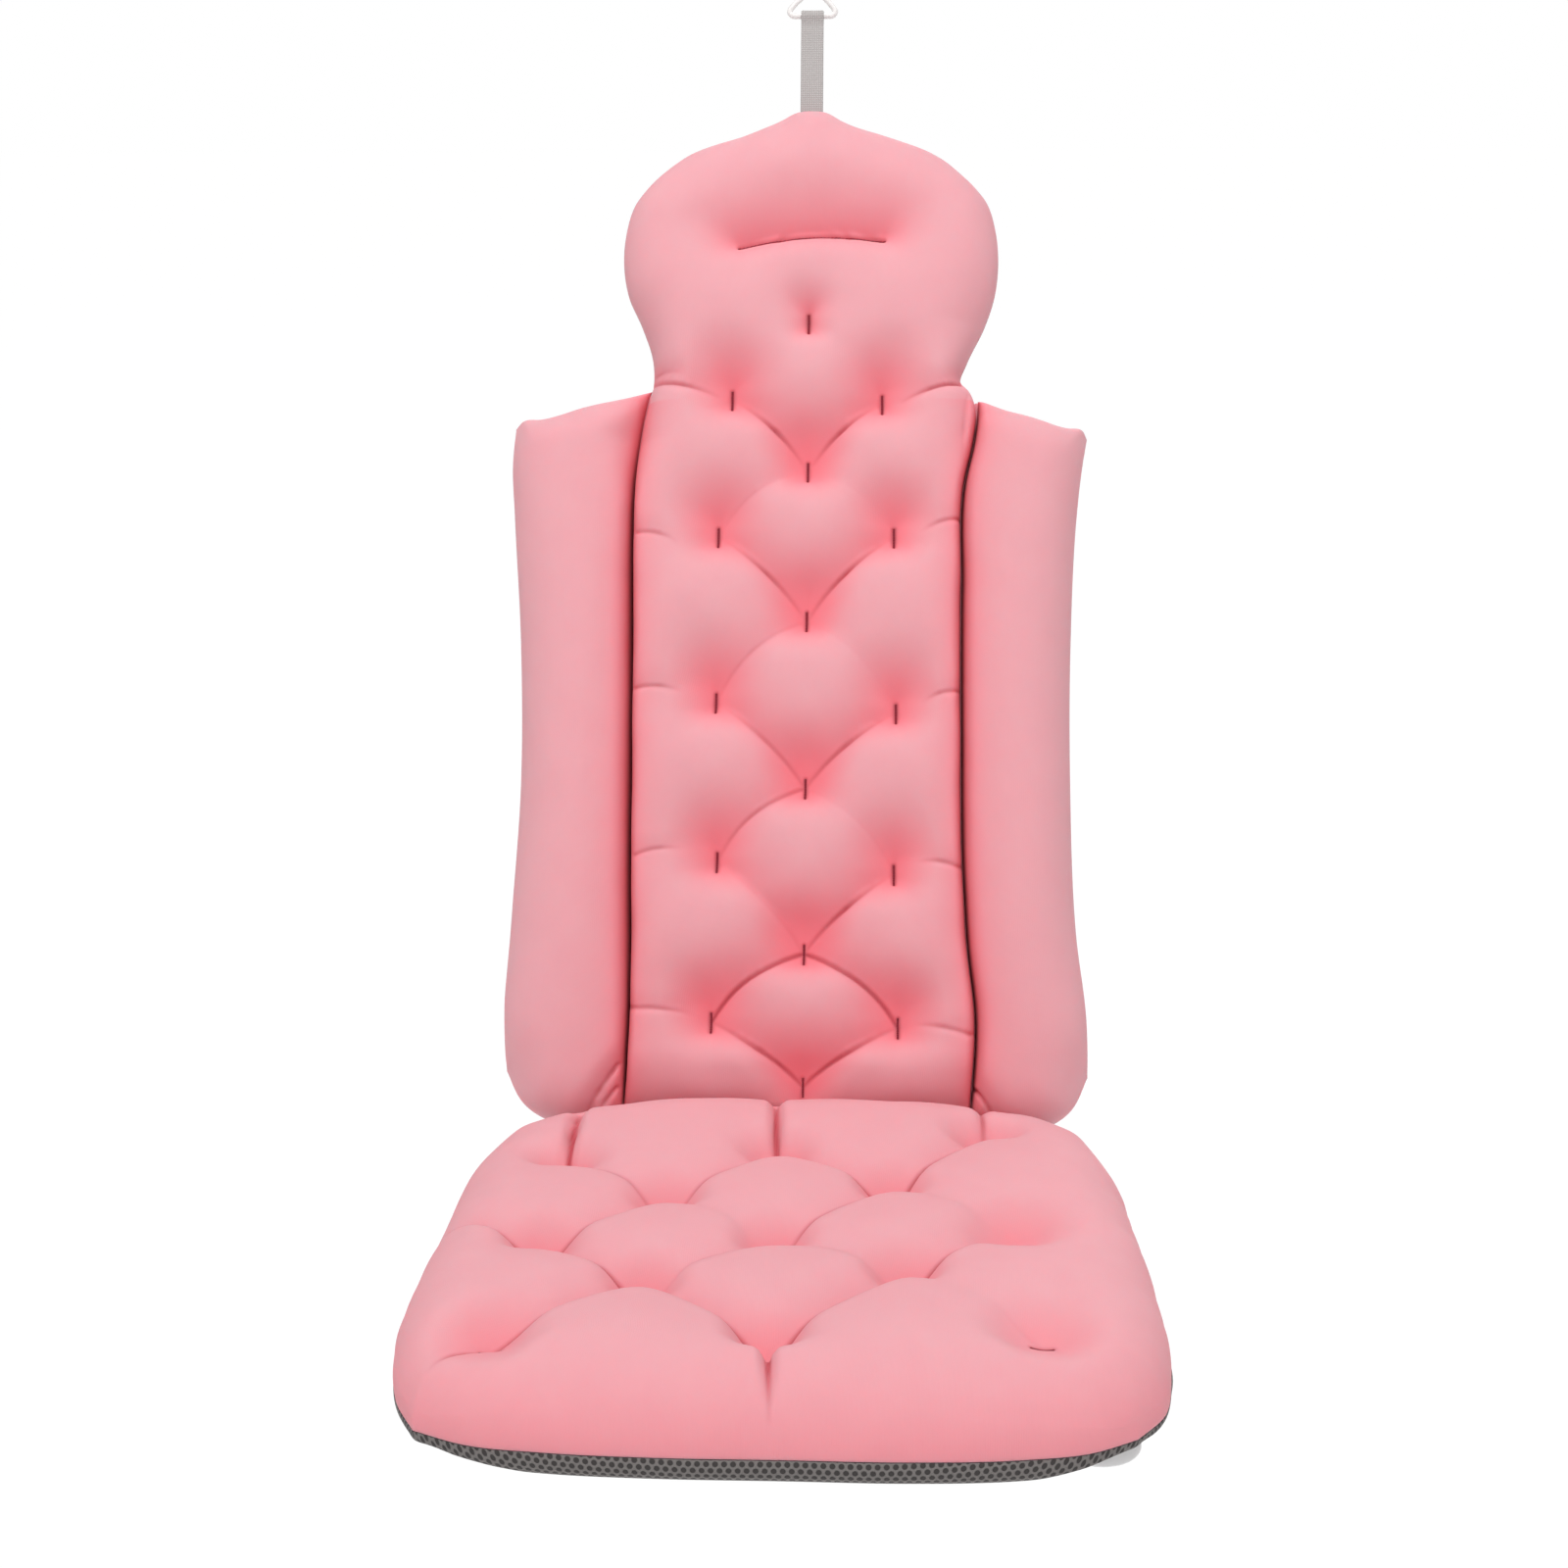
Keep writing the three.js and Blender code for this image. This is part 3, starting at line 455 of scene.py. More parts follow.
def crease_lines(plan, folds, width):
    """The narrow crease at the bottom of each fold: 1 on a sharp one, 0 a few millimetres away."""
    deep = np.zeros(plan.shape[:2])
    for one in folds:
        near, share, _ = beside(plan, one, 4 * width)
        deep = np.maximum(deep, np.interp(share, FOLD_SHARES, one["line"]) * np.exp(-(near / width) ** 2))
    return deep


# %% [markdown]
# The padded cover is simulated as cloth. It starts as a sheet over the grid, already crowned and drawn in at
# the tacks, with its edge and the tacks pinned. The cloth is a little larger than this sheet, and pressure
# from the filling swells it between the tacks, as it does in the sewn cushion.


# %% Sheets and their inflation
def sheet_object(name, grid):
    """A sheet of quads over a grid of points, in a cushion's own millimetres."""
    rows, columns = grid.shape[:2]
    bm = bmesh.new()
    bmesh.ops.create_grid(bm, x_segments=columns - 1, y_segments=rows - 1, size=1)
    for vert in bm.verts:
        i = round((vert.co.x + 1) / 2 * (columns - 1))
        j = round((vert.co.y + 1) / 2 * (rows - 1))
        vert.co = grid[j, i]
    mesh = bpy.data.meshes.new(name)
    bm.to_mesh(mesh)
    bm.free()
    return link_object(name, mesh)


def points_of(mesh):
    flat = np.empty(len(mesh.vertices) * 3, np.float32)
    mesh.vertices.foreach_get("co", flat)
    return flat.reshape(-1, 3).astype(float)


def move_to(mesh, points):
    mesh.vertices.foreach_set("co", np.asarray(points, np.float32).ravel())
    mesh.update()


CLOTH_FRAMES, PRESSURE = 24, 8
FOLD_HOLD, HOLD_REACH = 0.5, 2.5


def inflate(sheet, pins, soft_pins, growth, cap):
    """Swells a sheet by cloth simulation, with the pinned points held, and caps how far points move."""
    start = points_of(sheet.data)
    move_to(sheet.data, start * MM)
    group = sheet.vertex_groups.new(name="sewn")
    group.add([int(k) for k in soft_pins], FOLD_HOLD, "REPLACE")
    group.add([int(k) for k in pins], 1.0, "REPLACE")
    cloth = sheet.modifiers.new("cloth", "CLOTH")
    for setting, value in {
            "quality": 6, "mass": 0.02, "tension_stiffness": 15, "compression_stiffness": 15,
            "shear_stiffness": 5, "bending_stiffness": 0.3, "use_pressure": True,
            "uniform_pressure_force": PRESSURE,
            "shrink_min": -growth, "vertex_group_mass": group.name, "pin_stiffness": 1}.items():
        setattr(cloth.settings, setting, value)
    cloth.settings.effector_weights.gravity = 0
    cloth.collision_settings.use_collision = False
    cloth.point_cache.frame_start = 1
    cloth.point_cache.frame_end = CLOTH_FRAMES
    for step in range(1, CLOTH_FRAMES + 1):
        bpy.context.scene.frame_set(step)
    swollen = sheet.evaluated_get(bpy.context.evaluated_depsgraph_get())
    end = points_of(swollen.data) / MM
    sheet.modifiers.remove(cloth)
    sheet.vertex_groups.remove(group)
    bpy.context.scene.frame_set(1)
    moved = end - start
    far = np.linalg.norm(moved, axis=1, keepdims=True)
    kept = start + moved * np.where(far > cap, cap / np.maximum(far, 1e-9), 1)
    print(sheet.name, "swelled by", round(float(far.mean()), 1), "mm, most", round(float(far.max()), 1))
    return kept


# %% [markdown]
# The swollen grid is made finer, its creases are pressed in, and it is closed to a half cushion. Each half
# has a map of its cloth, in 100 mm, and marks of painted shade in its hollows and creases, which the knit's
# colours follow.


# %% Half cushions
def finer(grid, times=1):
    """The grid one or more Catmull-Clark levels finer, which also smooths it."""
    for axis in (0, 1) * times:
        lines = np.moveaxis(grid, axis, 0)
        made = np.empty((2 * len(lines) - 1, *lines.shape[1:]))
        made[::2] = lines
        made[1::2] = (lines[1:] + lines[:-1]) / 2
        made[2:-2:2] = (lines[:-2] + 6 * lines[1:-1] + lines[2:]) / 8
        grid = np.moveaxis(made, 0, axis)
    return grid


FINER = 2


def fine(values):
    """Values on a grid, on the finer grid of its finished skin."""
    return finer(values[..., None], FINER)[..., 0]


def normals_of(grid):
    up = np.cross(np.gradient(grid, axis=1), np.gradient(grid, axis=0))
    return up / np.maximum(np.linalg.norm(up, axis=-1, keepdims=True), 1e-9)


def lengths(grid, axis):
    """Length along the grid lines from the sheet's middle."""
    steps = np.linalg.norm(np.diff(grid, axis=axis), axis=2)
    length = np.concatenate([np.zeros_like(np.take(steps, [0], axis)), np.cumsum(steps, axis)], axis)
    return length - np.take(length, [length.shape[axis] // 2], axis)


def finished(name, mesh, material):
    mesh.polygons.foreach_set("use_smooth", [True] * len(mesh.polygons))
    mesh.materials.append(material)
    return link_object(name, mesh)


END_SHARE = 12


def cushion_half(name, skin, local_frame, material, faces_down=False, marks=None):
    """A closed half cushion: its skin, and inside strips from seam to seam with a fan at either end."""
    rows, columns = skin.shape[:2]
    index = np.arange(rows * columns).reshape(rows, columns)
    quads = np.stack([index[:-1, :-1], index[:-1, 1:], index[1:, 1:], index[1:, :-1]], axis=-1).reshape(-1, 4)
    left, right, end = index[:, 0], index[:, -1], rows // END_SHARE
    strips = np.stack([left[:-1], left[1:], right[1:], right[:-1]], axis=-1)[end:-end]
    quads = np.concatenate([quads, strips])
    loops = [np.concatenate([left[end:0:-1], index[0], right[1:end + 1]]),
             np.concatenate([right[-end - 1:-1], index[-1, ::-1], left[-2:-end - 2:-1]])]
    fan = np.concatenate([np.stack([np.roll(loop, -1), loop, np.full(len(loop), rows * columns + k)], axis=-1)
                          for k, loop in enumerate(loops)])
    if faces_down:
        quads, fan = quads[:, ::-1], fan[:, ::-1]
    flat_skin = skin.reshape(-1, 3)
    middles = [flat_skin[loop].mean(0)[None] for loop in loops]
    points = place(np.concatenate([flat_skin] + middles), local_frame)
    mesh = bpy.data.meshes.new(name)
    mesh.from_pydata(points.tolist(), [], quads.tolist() + fan.tolist())
    run = np.stack([lengths(skin, 1), lengths(skin, 0)], axis=-1) / UV_MM
    uv = np.concatenate([run.reshape(-1, 2), np.zeros((2, 2))])[np.concatenate([quads.ravel(), fan.ravel()])]
    mesh.uv_layers.new(name="cloth").data.foreach_set("uv", uv.astype(np.float32).ravel())
    for mark, values in (marks or {}).items():
        values = np.append(np.clip(values, 0, 1).ravel(), (0, 0)).astype(np.float32)
        mesh.attributes.new(mark, "FLOAT", "POINT").data.foreach_set("value", values)
    print(name, 2 * len(quads) + len(fan), "triangles")
    return finished(name, mesh, material)


STEP, SMOOTHING = 4.0, 6
CREASE_WIDTH, CREASE = 1.5, 2.0


def swell(name, grid, pins, soft_pins, growth, cap):
    sheet = sheet_object(name, grid)
    points = inflate(sheet, pins, soft_pins, growth, cap)
    mesh = sheet.data
    bpy.data.objects.remove(sheet)
    bpy.data.meshes.remove(mesh)
    moved = points.reshape(grid.shape) - grid
    for _ in range(SMOOTHING):
        for axis in (0, 1):
            lines = np.moveaxis(moved, axis, 0)
            lines[1:-1] = (lines[:-2] + 2 * lines[1:-1] + lines[2:]) / 4
    return grid + moved


def edge_pins(shape):
    rows, columns = shape
    index = np.arange(rows * columns).reshape(rows, columns)
    return set(np.concatenate([index[0], index[-1], index[:, 0], index[:, -1]]).tolist())


def tack_pins(held, shape):
    return {j * shape[1] + i for tack in held for j, i in tack}


def press_creases(grid, plan, folds, strength):
    """The fine skin of a swollen grid with its creases pressed in, its plan, and the depth of the creases."""
    skin, fine_plan = finer(grid, FINER), finer(plan, FINER)
    lines = crease_lines(fine_plan, folds, CREASE_WIDTH) * strength
    return skin - normals_of(skin) * (CREASE * lines)[..., None], fine_plan, lines


# %% [markdown]
# The seat is a wide cushion with rounded corners, wider at the front. Its seam runs 24 mm above the floor and
# climbs to the crease at the rear. The pink cover bulges out over the seam, and the grey mesh hangs below it
# as a shallow belly, flattened where the suction cups are fixed.

# %% Plan of the seat
seat_front = [(-199, -359), (-172, -372), (-130, -378), (-70, -381), (0, -381), (70, -381), (130, -377),
              (170, -369), (196, -355)]
seat_side = [(196, -355), (213, -332), (221, -295), (221, -230), (216.5, -160), (211.5, -100), (195, -48)]
left_edge = [seat_front[0]] + mirrored(seat_side)[1:]
seat_rear = [(0, -1), (70, -2), (120, -9), (160, -20), (195, -48)]
SEAT_WIDE, SEAT_DEEP, SEAT_EDGE, SEAT_REACH = 420, 370, 44, 18
LEFT_FROM, LEFT_RUN, LEFT_WIDER = -150, 50, 0.03
across = edge_shares(SEAT_WIDE, SEAT_EDGE, SEAT_EDGE, STEP)
along = edge_shares(SEAT_DEEP, SEAT_EDGE, SEAT_EDGE, STEP)
seat_plan = span(seat_front, both_halves(seat_rear), left_edge, seat_side, across, along)
seat_x = seat_plan[..., 0]
seat_x *= 1 + LEFT_WIDER * np.clip((LEFT_FROM - seat_x) / LEFT_RUN, 0, 1)
seat_held = draw_to_tacks(seat_plan, seat_tacks.values(), False, SEAT_REACH)
seat_shape = seat_plan.shape[:2]
print("seat grid", seat_shape)

# %% Folds of the seat
REAR, FOURTH, MIDDLE, SECOND, FRONT = [[seat_tacks[f"seat_tuft_tack_{n}"] for n in row] for row in (
    (1, 2, 3), (4, 5), (6, 7, 8), (9, 10), (11, 12, 13))]
FULL = [(0.6, 0.4, 0.6), (0.6, 1, 0.7)]
FORK = [(0.9, 0.5, 0.5), (0.9, 1, 0.6)]
FAINT = [(0.3, 0.1, 0.2), (0, 0, 0)]
SEAT_RUNS, SLIT_RUNS, DIMPLE_RUNS, BOWL_RUNS, BOWL_DEPTH = (9, 40), (8, 8), (15, 40), (34, 42), 0.62
seat_folds = [fold(one, other, 4, *shape, SEAT_RUNS) for one, other, *shape in (
    (FRONT[0], SECOND[0], (0.7, 0.45, 0.5), (0.7, 1, 0.8)), (FRONT[1], SECOND[0], *FORK),
    (FRONT[1], SECOND[1], *FORK), (FRONT[2], SECOND[1], (0.3, 0.05, 0.2), (0.2, 0, 0)),
    (MIDDLE[0], SECOND[0], *FULL), (MIDDLE[1], SECOND[0], (0.5, 0.25, 0.3), (0.2, 0.3, 0.1)),
    (MIDDLE[1], SECOND[1], (0.3, 0.15, 0.4), (0, 0.1, 0)), (MIDDLE[2], SECOND[1], *FULL),
    (MIDDLE[0], FOURTH[0], (0.6, 0.35, 0.6), (0.6, 0.9, 0.6)), (MIDDLE[1], FOURTH[0], *FAINT),
    (MIDDLE[1], FOURTH[1], (0.5, 0.3, 0.5), (0.4, 0.8, 0.4)), (MIDDLE[2], FOURTH[1], *FAINT),
    (REAR[0], FOURTH[0], (0.3, 0.15, 0.3), (0.1, 0.5, 0.5)),
    (REAR[1], FOURTH[0], (0.5, 0.3, 0.5), (0.4, 0.8, 0.3)),
    (REAR[1], FOURTH[1], *FULL), (REAR[2], FOURTH[1], *FULL),
    (MIDDLE[0], (-214, -197), (0.5, 0.4, 0.1), (0.5, 1, 0.5)),
    (FRONT[0], (-198, -352), (0.6, 0.35, 0), (0.6, 0.8, 0)))]
seat_folds += [fold(tack, end, 0, *shape, SLIT_RUNS) for tack, end, *shape in (
    (REAR[0], (-150, -34), (0.8, 0.8, 0.6), (1, 1, 0.8)),
    (REAR[1], (-18, -8), (0.8, 0.7, 0.6), (0.9, 1, 0.8)),
    (REAR[2], (121, -14), (0.6, 0.4, 0.4), (0.3, 0.8, 0.8)),
    (FRONT[1], (-6, -376), (1, 0.75, 0.1), (1, 1, 0.4)))]
lone = (FRONT[0], FRONT[2], MIDDLE[2])
joined = [*REAR, *FOURTH, *MIDDLE[:2], *SECOND, FRONT[1]]
seat_dimples = dimples(joined, False, DIMPLE_RUNS)
for one in dimples(lone, False, BOWL_RUNS):
    seat_dimples.append(dict(one, depth=BOWL_DEPTH * one["depth"], bowl=True))
print(len(seat_folds), "folds between", len(seat_tacks), "tacks")

# %% Seat cover
SEAT_SEAM, SEAT_CROWN, SEAT_TUFT, SEAT_CLIMB = 24, 74, 21, 120
SEAT_GROWTH, SEAT_CAP, TUFT_SHADE, EDGE_SHADE, LINE_SHADE = 0.02, 12, 0.65, 0.5, 0.85
seat_seam = SEAT_SEAM + (crease.z / MM - SEAT_SEAM) * np.clip(seat_plan[..., 1] / SEAT_CLIMB + 1, 0, 1) ** 2
sides = [seat_plan[:, 0], seat_plan[:, -1], seat_plan[0], seat_plan[-1]]
seat_rise = np.min([quarter_rise(gap_to(seat_plan, line), SEAT_EDGE) for line in sides], axis=0)
seat_creased = seat_folds + seat_dimples
drawn = fold_depth(seat_plan, seat_creased)
grid = np.dstack([seat_plan, seat_seam + seat_rise * (SEAT_CROWN - seat_seam - SEAT_TUFT * drawn)])
pins = edge_pins(seat_shape) | tack_pins(seat_held, seat_shape)
grid = swell("seat_sheet", grid, pins, near_folds(seat_plan, seat_folds, HOLD_REACH), SEAT_GROWTH, SEAT_CAP)
skin, fine_plan, lines = press_creases(grid, seat_plan, seat_creased, fine(seat_rise))
# Painted shade: deeper pink in the tufts and down the rounded edge towards the seam, and dark red lines in
# the creases.
tufted = TUFT_SHADE * fold_depth(fine_plan, seat_creased) ** 1.2
marks = {"hollow_shade": np.maximum(tufted, EDGE_SHADE * (1 - fine(seat_rise))), "crease": LINE_SHADE * lines}
seat_cover = cushion_half("seat_padded_cover", skin, seat_frame, knit, marks=marks)
seat_skin = skin, fine_plan, normals_of(skin)
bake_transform(seat_cover)
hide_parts("seat_cover", "seat_filling")

# %% Seat mesh
SEAT_BELLY, CUP_FACE, CUP_FLAT, CUP_FADE, MESH_EDGE, MESH_TUCK = 4.5, 11.5, 28, 66, 16, 25
SEAM_GAP, MESH_BULGE, BULGE_FADE, SEAT_MIDDLE = 0.6, 3.5, 80, (0, -190)
seat_cups = [np.mean(packed_box(name, seat_frame), axis=0) for name in frame["nodes"]
             if name.startswith("seat") and name.endswith("cup")]
cup_gap = np.min([np.hypot(seat_plan[..., 0] - x, seat_plan[..., 1] - y) for x, y, _ in seat_cups], axis=0)
fade = np.clip((cup_gap - CUP_FLAT) / (CUP_FADE - CUP_FLAT), 0, 1)
fade = fade * fade * (3 - 2 * fade)
seat_base = CUP_FACE + (SEAT_BELLY - CUP_FACE) * fade
edge_gap = np.min([gap_to(seat_plan, line) for line in sides], axis=0)
mesh_rise = quarter_rise(edge_gap, MESH_EDGE + (MESH_TUCK - MESH_EDGE) * (1 - fade))
grid = np.dstack([seat_plan, seat_seam - SEAM_GAP + mesh_rise * (seat_base - seat_seam)])
bulge = MESH_BULGE * fade * np.sin(np.clip(mesh_rise, 0, 1) * math.pi)
bulge *= np.clip(-seat_plan[..., 1] / BULGE_FADE, 0, 1)
away = seat_plan - SEAT_MIDDLE
grid[..., :2] += bulge[..., None] * away / np.linalg.norm(away, axis=-1, keepdims=True)
seat_mesh = cushion_half("seat_mesh_underside", finer(grid), seat_frame, air_mesh, faces_down=True)
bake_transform(seat_mesh)
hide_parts("seat_air_mesh")

# %% [markdown]
# The back and the head rest are cut from one length of cover, drawn in at the neck. The head is onion-shaped,
# with a pointed top where the strap is sewn in, and a stitched slit across it holds its padding in place.

# %% Plan of the back and the head
NECK, TIP, GAP = 514, 710, 0.2
left_groove = [(-125.2, 1), (-122, 65), (-122.4, 180), (-122.6, 297), (-122.9, 420), (-122, 450),
               (-118.5, 478)]
right_groove = [(115.7, 1), (119.2, 67), (113.7, 115), (110.5, 162), (108.5, 270), (108.3, 366), (110, 442),
                (116.2, 470)]
left_head = [(-111, 514), (-111.5, 530), (-119.5, 555), (-130, 579), (-133, 602), (-131, 622), (-124.5, 643),
             (-111, 659)]
right_head = [(107, 514), (112, 530), (124, 555), (131.5, 579), (133.5, 602), (131.5, 622), (125, 643),
              (111, 659)]
left_side = [(x + GAP, y) for x, y in left_groove] + [(-113.5, 500)] + left_head
right_side = [(x - GAP, y) for x, y in right_groove] + [(118, 490), (114.5, 504)] + right_head
head_top = [(0, TIP), (10, TIP - 0.8), (22, 703), (48, 693), (86, 677), (111, 659)]
back_foot = [left_side[0], (-60, 1), (0, 1), (60, 1), right_side[0]]
BACK_WIDE, BACK_LONG, BACK_EDGE, HEAD_EDGE, BACK_FOOT, BACK_REACH = 237, 690, 9, 40, 30, 15
across = edge_shares(BACK_WIDE, BACK_EDGE, BACK_EDGE, STEP)
along = edge_shares(BACK_LONG, BACK_FOOT, HEAD_EDGE, STEP)
back_plan = span(back_foot, both_halves(head_top), left_side, right_side, across, along)
all_tacks = list(back_tacks.values()) + list(head_tacks.values())
back_held = draw_to_tacks(back_plan, all_tacks, True, BACK_REACH)
back_shape = back_plan.shape[:2]
print("back grid", back_shape)

# %% Folds of the back and the head
pairs = [[back_tacks[f"back_tuft_tack_{n}"] for n in (k, k + 1)] for k in (1, 3, 5, 7, 9)]
centres = [back_tacks[f"back_tuft_tack_{n}"] for n in range(11, 16)]
back_folds = []
for k, lines in enumerate((
        ((0.3, 1, 0.9), (0.3, 1, 0.9)), ((0, 0.1, 0.3), (0, 1, 0.4)), ((0, 0.7, 0.4), (0, 0.9, 0.4)),
        ((0, 0.9, 0.2), (0, 1, 0.3)), ((0, 1, 0.1), (0, 1, 0.1)))):
    for tack, line in zip(pairs[k], lines):
        deep = 0.45 + 0.2 * max(line)
        back_folds.append(fold(tack, centres[k], 5, (deep, deep, 0.8), line))
for k, lines in enumerate((
        ((0.9, 1, 0.9), (0.9, 1, 0.9)), ((0.6, 0.7, 0.3), (0.1, 0.15, 0.1)),
        ((0.2, 0.45, 0.2), (0.05, 0.1, 0)), ((0, 0.3, 0.1), (0, 0.05, 0)))):
    for tack, line in zip(pairs[k], lines):
        deep = 0.06 + 0.5 * max(line)
        back_folds.append(fold(centres[k + 1], tack, 9, (deep, deep, deep), line))
for seam_end, inner_end in (
        ((-119, 404), (-89, 396)), ((-119, 295), (-84, 292)), ((-118, 179), (-82, 183)),
        ((-119, 73), (-74, 67)), ((107, 414), (78, 404)), ((106, 294), (80, 285)), ((108, 172), (77, 175)),
        ((116, 57), (74, 62))):
    back_folds.append(fold(seam_end, inner_end, 3, (0.2, 0.12, 0), (0.7, 0.7, 0), (5, 14)))
NOTCH = [(0.6, 0.3, 0.2), (1, 0.9, 0.2)]
for notch, tack_end, *shape in (
        ((-110, 511), (-64, 501), *NOTCH), ((106, 510), (66, 497), *NOTCH),
        ((-108, 517), (-84, 515), (0.4, 0.2, 0), (0.6, 0.3, 0)),
        ((109, 452), (111, 500), (0.1, 0.3, 0.3), (0, 0.4, 0.3))):
    back_folds.append(fold(notch, tack_end, 2, *shape, (7, 20)))
back_folds.append(fold(centres[0], (-2, 0), 0, (1, 0.8, 0.7), (1, 1, 0.8), (12, 12)))
back_dimples = dimples(back_tacks.values(), True, (22, 60))
slit = fold((-49, 606.5), (52, 611.5), 5, (0.85, 0.85, 0.85), (0.9, 1, 1), (18, 62))
head_dimples = [dict(one, depth=0.85 * one["depth"]) for one in dimples(head_tacks.values(), True, (14, 34))]
print(len(back_folds), "folds on the back")

# %% Back and head cover
BACK_CROWN, HEAD_CROWN, BACK_TUFT, SIDE_SEAM, NECK_SEAM, SHOULDER = 20, 22, 17, -12, -14, 18
BACK_GROWTH, BACK_CAP, SHOULDER_FROM, SHOULDER_RUN, GROOVE_END, SHADE_END = 0.02, 12, 425, 45, 485, 497
GROOVE_SHADE_RUN, GROOVE_LINE, BACK_LINE, SLIT_HOLD = 9, 0.7, 0.75, 2.2
STEP_IN, NECK_RUN, HEAD_START, FOOT_RUN = 60, 60, 20, 45
s = back_plan[..., 1]
step_in = np.clip(s / STEP_IN, 0, 1)
back_seam = SIDE_SEAM * step_in * step_in * (3 - 2 * step_in)
to_head = np.clip((s - NECK + NECK_RUN) / NECK_RUN, 0, 1)
back_seam += (NECK_SEAM - SIDE_SEAM) * to_head
crown = BACK_CROWN + (HEAD_CROWN - BACK_CROWN) * to_head
on_head = np.clip((s - NECK + HEAD_START) / NECK_RUN, 0, 1)
opening = np.clip((s - SHOULDER_FROM) / SHOULDER_RUN, 0, 1) * (back_plan[..., 0] < 0)
side_run = BACK_EDGE + SHOULDER * opening + (HEAD_EDGE - BACK_EDGE - SHOULDER * opening) * on_head
side_gap = np.minimum(gap_to(back_plan, back_plan[:, 0]), gap_to(back_plan, back_plan[:, -1]))
top_gap, foot_gap = gap_to(back_plan, back_plan[-1]), gap_to(back_plan, back_plan[0])
back_rise = quarter_rise(side_gap, side_run, 3 - np.maximum(on_head, opening))
back_rise = np.minimum(back_rise, quarter_rise(top_gap, HEAD_EDGE)) * sloped_rise(foot_gap, FOOT_RUN)
back_creased = back_folds + back_dimples + head_dimples + [slit]
drawn = fold_depth(back_plan, back_creased)
grid = np.dstack([back_plan, back_seam + back_rise * (crown - back_seam - BACK_TUFT * drawn)])
pins = edge_pins(back_shape) | tack_pins(back_held, back_shape)
pins |= set(near_folds(back_plan, [slit], SLIT_HOLD).tolist())
grid = swell("back_sheet", grid, pins, near_folds(back_plan, back_folds, HOLD_REACH), BACK_GROWTH, BACK_CAP)
between_grooves = np.clip(grid[..., 0], back_plan[:, :1, 0], back_plan[:, -1:, 0])
grid[..., 0] = np.where(grid[..., 1] < GROOVE_END, between_grooves, grid[..., 0])
skin, fine_plan, lines = press_creases(grid, back_plan, back_creased, fine(back_rise))
# Painted shade: deeper pink in the tufts and beside the grooves below the neck, and dark red lines in the
# creases and down the grooves.
fine_gap, below_neck = fine(side_gap), fine_plan[..., 1] < SHADE_END
groove = GROOVE_LINE * np.exp(-fine_gap ** 2) * below_neck * (1 - fine(opening))
by_groove = np.exp(-fine_gap / GROOVE_SHADE_RUN) * below_neck
marks = {"hollow_shade": np.maximum(fold_depth(fine_plan, back_creased), by_groove),
         "crease": np.maximum(BACK_LINE * lines, groove)}
back_cover = cushion_half("back_and_head_padded_cover", skin, back_frame, knit, marks=marks)
back_skin = skin, fine_plan, normals_of(skin)
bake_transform(back_cover)
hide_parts("back_cover", "back_filling", "head_cover", "head_filling", "neck_binding")

# %% Back and head mesh
BACK_BASE, UNDER_EDGE = -36.5, 30
under_rise = np.minimum(quarter_rise(side_gap, UNDER_EDGE), quarter_rise(top_gap, UNDER_EDGE))
under_rise *= quarter_rise(foot_gap, 12)
skin = finer(np.dstack([back_plan, back_seam - SEAM_GAP + under_rise * (BACK_BASE - back_seam)]))
back_mesh = cushion_half("back_and_head_mesh_underside", skin, back_frame, air_mesh, faces_down=True)
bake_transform(back_mesh)
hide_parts("back_air_mesh", "head_air_mesh")

# %% [markdown]
# The bolsters are two long pads sewn to the sides of the back. They are fullest at the foot, and pinched
# where their ends are gathered into the seams.

# %% Bolsters
BOLSTER_CROWN, INNER_EDGE, OUTER_EDGE, FOOT_EDGE, TOP_EDGE = 26, 10, 34, 48, 24
BOLSTER_GROWTH, BOLSTER_CAP, TURN_FROM, TURN_TO, PINCH_LINE = 0.004, 10, 121, 140, 0.6
left_lines = {
    "inner": [(125.6, -4)] + [(GAP - x, y) for x, y in left_groove[1:]] + [(114.5, 500), (112, 509)],
    "outer": [(209, 26), (211, 60), (207.5, 130), (202, 230), (203.5, 330), (209, 420), (210.5, 450),
              (209, 482)],
    "foot": [(125.6, -4), (136, -10), (153, -12.5), (172.5, -10), (193.5, 1), (209, 26)],
    "top": [(112, 509), (127, 504), (155, 497.5), (190, 488), (203, 487.5), (209, 482)]}
right_lines = {
    "inner": [(116.1, -4)] + [(x + GAP, y) for x, y in right_groove[1:]] + [(118.8, 488), (119.5, 502)],
    "outer": [(198, 26), (197.5, 60), (189.5, 130), (185.5, 230), (185.5, 330), (189.5, 420), (192.5, 450),
              (196.5, 475)],
    "foot": [(116.1, -4), (131, -10), (149, -12.5), (166, -10), (184.5, 1), (198, 26)],
    "top": [(119.5, 502), (137, 495), (155, 490), (182, 481.5), (193, 480.5), (196.5, 474)]}
left_wrinkles = [((127, 34), (153, -9), 0.25), ((128, 18), (144, -8), 0.2)]
right_wrinkles = [((119, 18), (134, -8), 0.15)]
BOLSTER_WIDE, BOLSTER_LONG, FOOT_ROUND, TOP_ROUND = 76, 495, 40, 25
across = edge_shares(BOLSTER_WIDE, INNER_EDGE, OUTER_EDGE, STEP)
along = edge_shares(BOLSTER_LONG, FOOT_ROUND, TOP_ROUND, STEP)
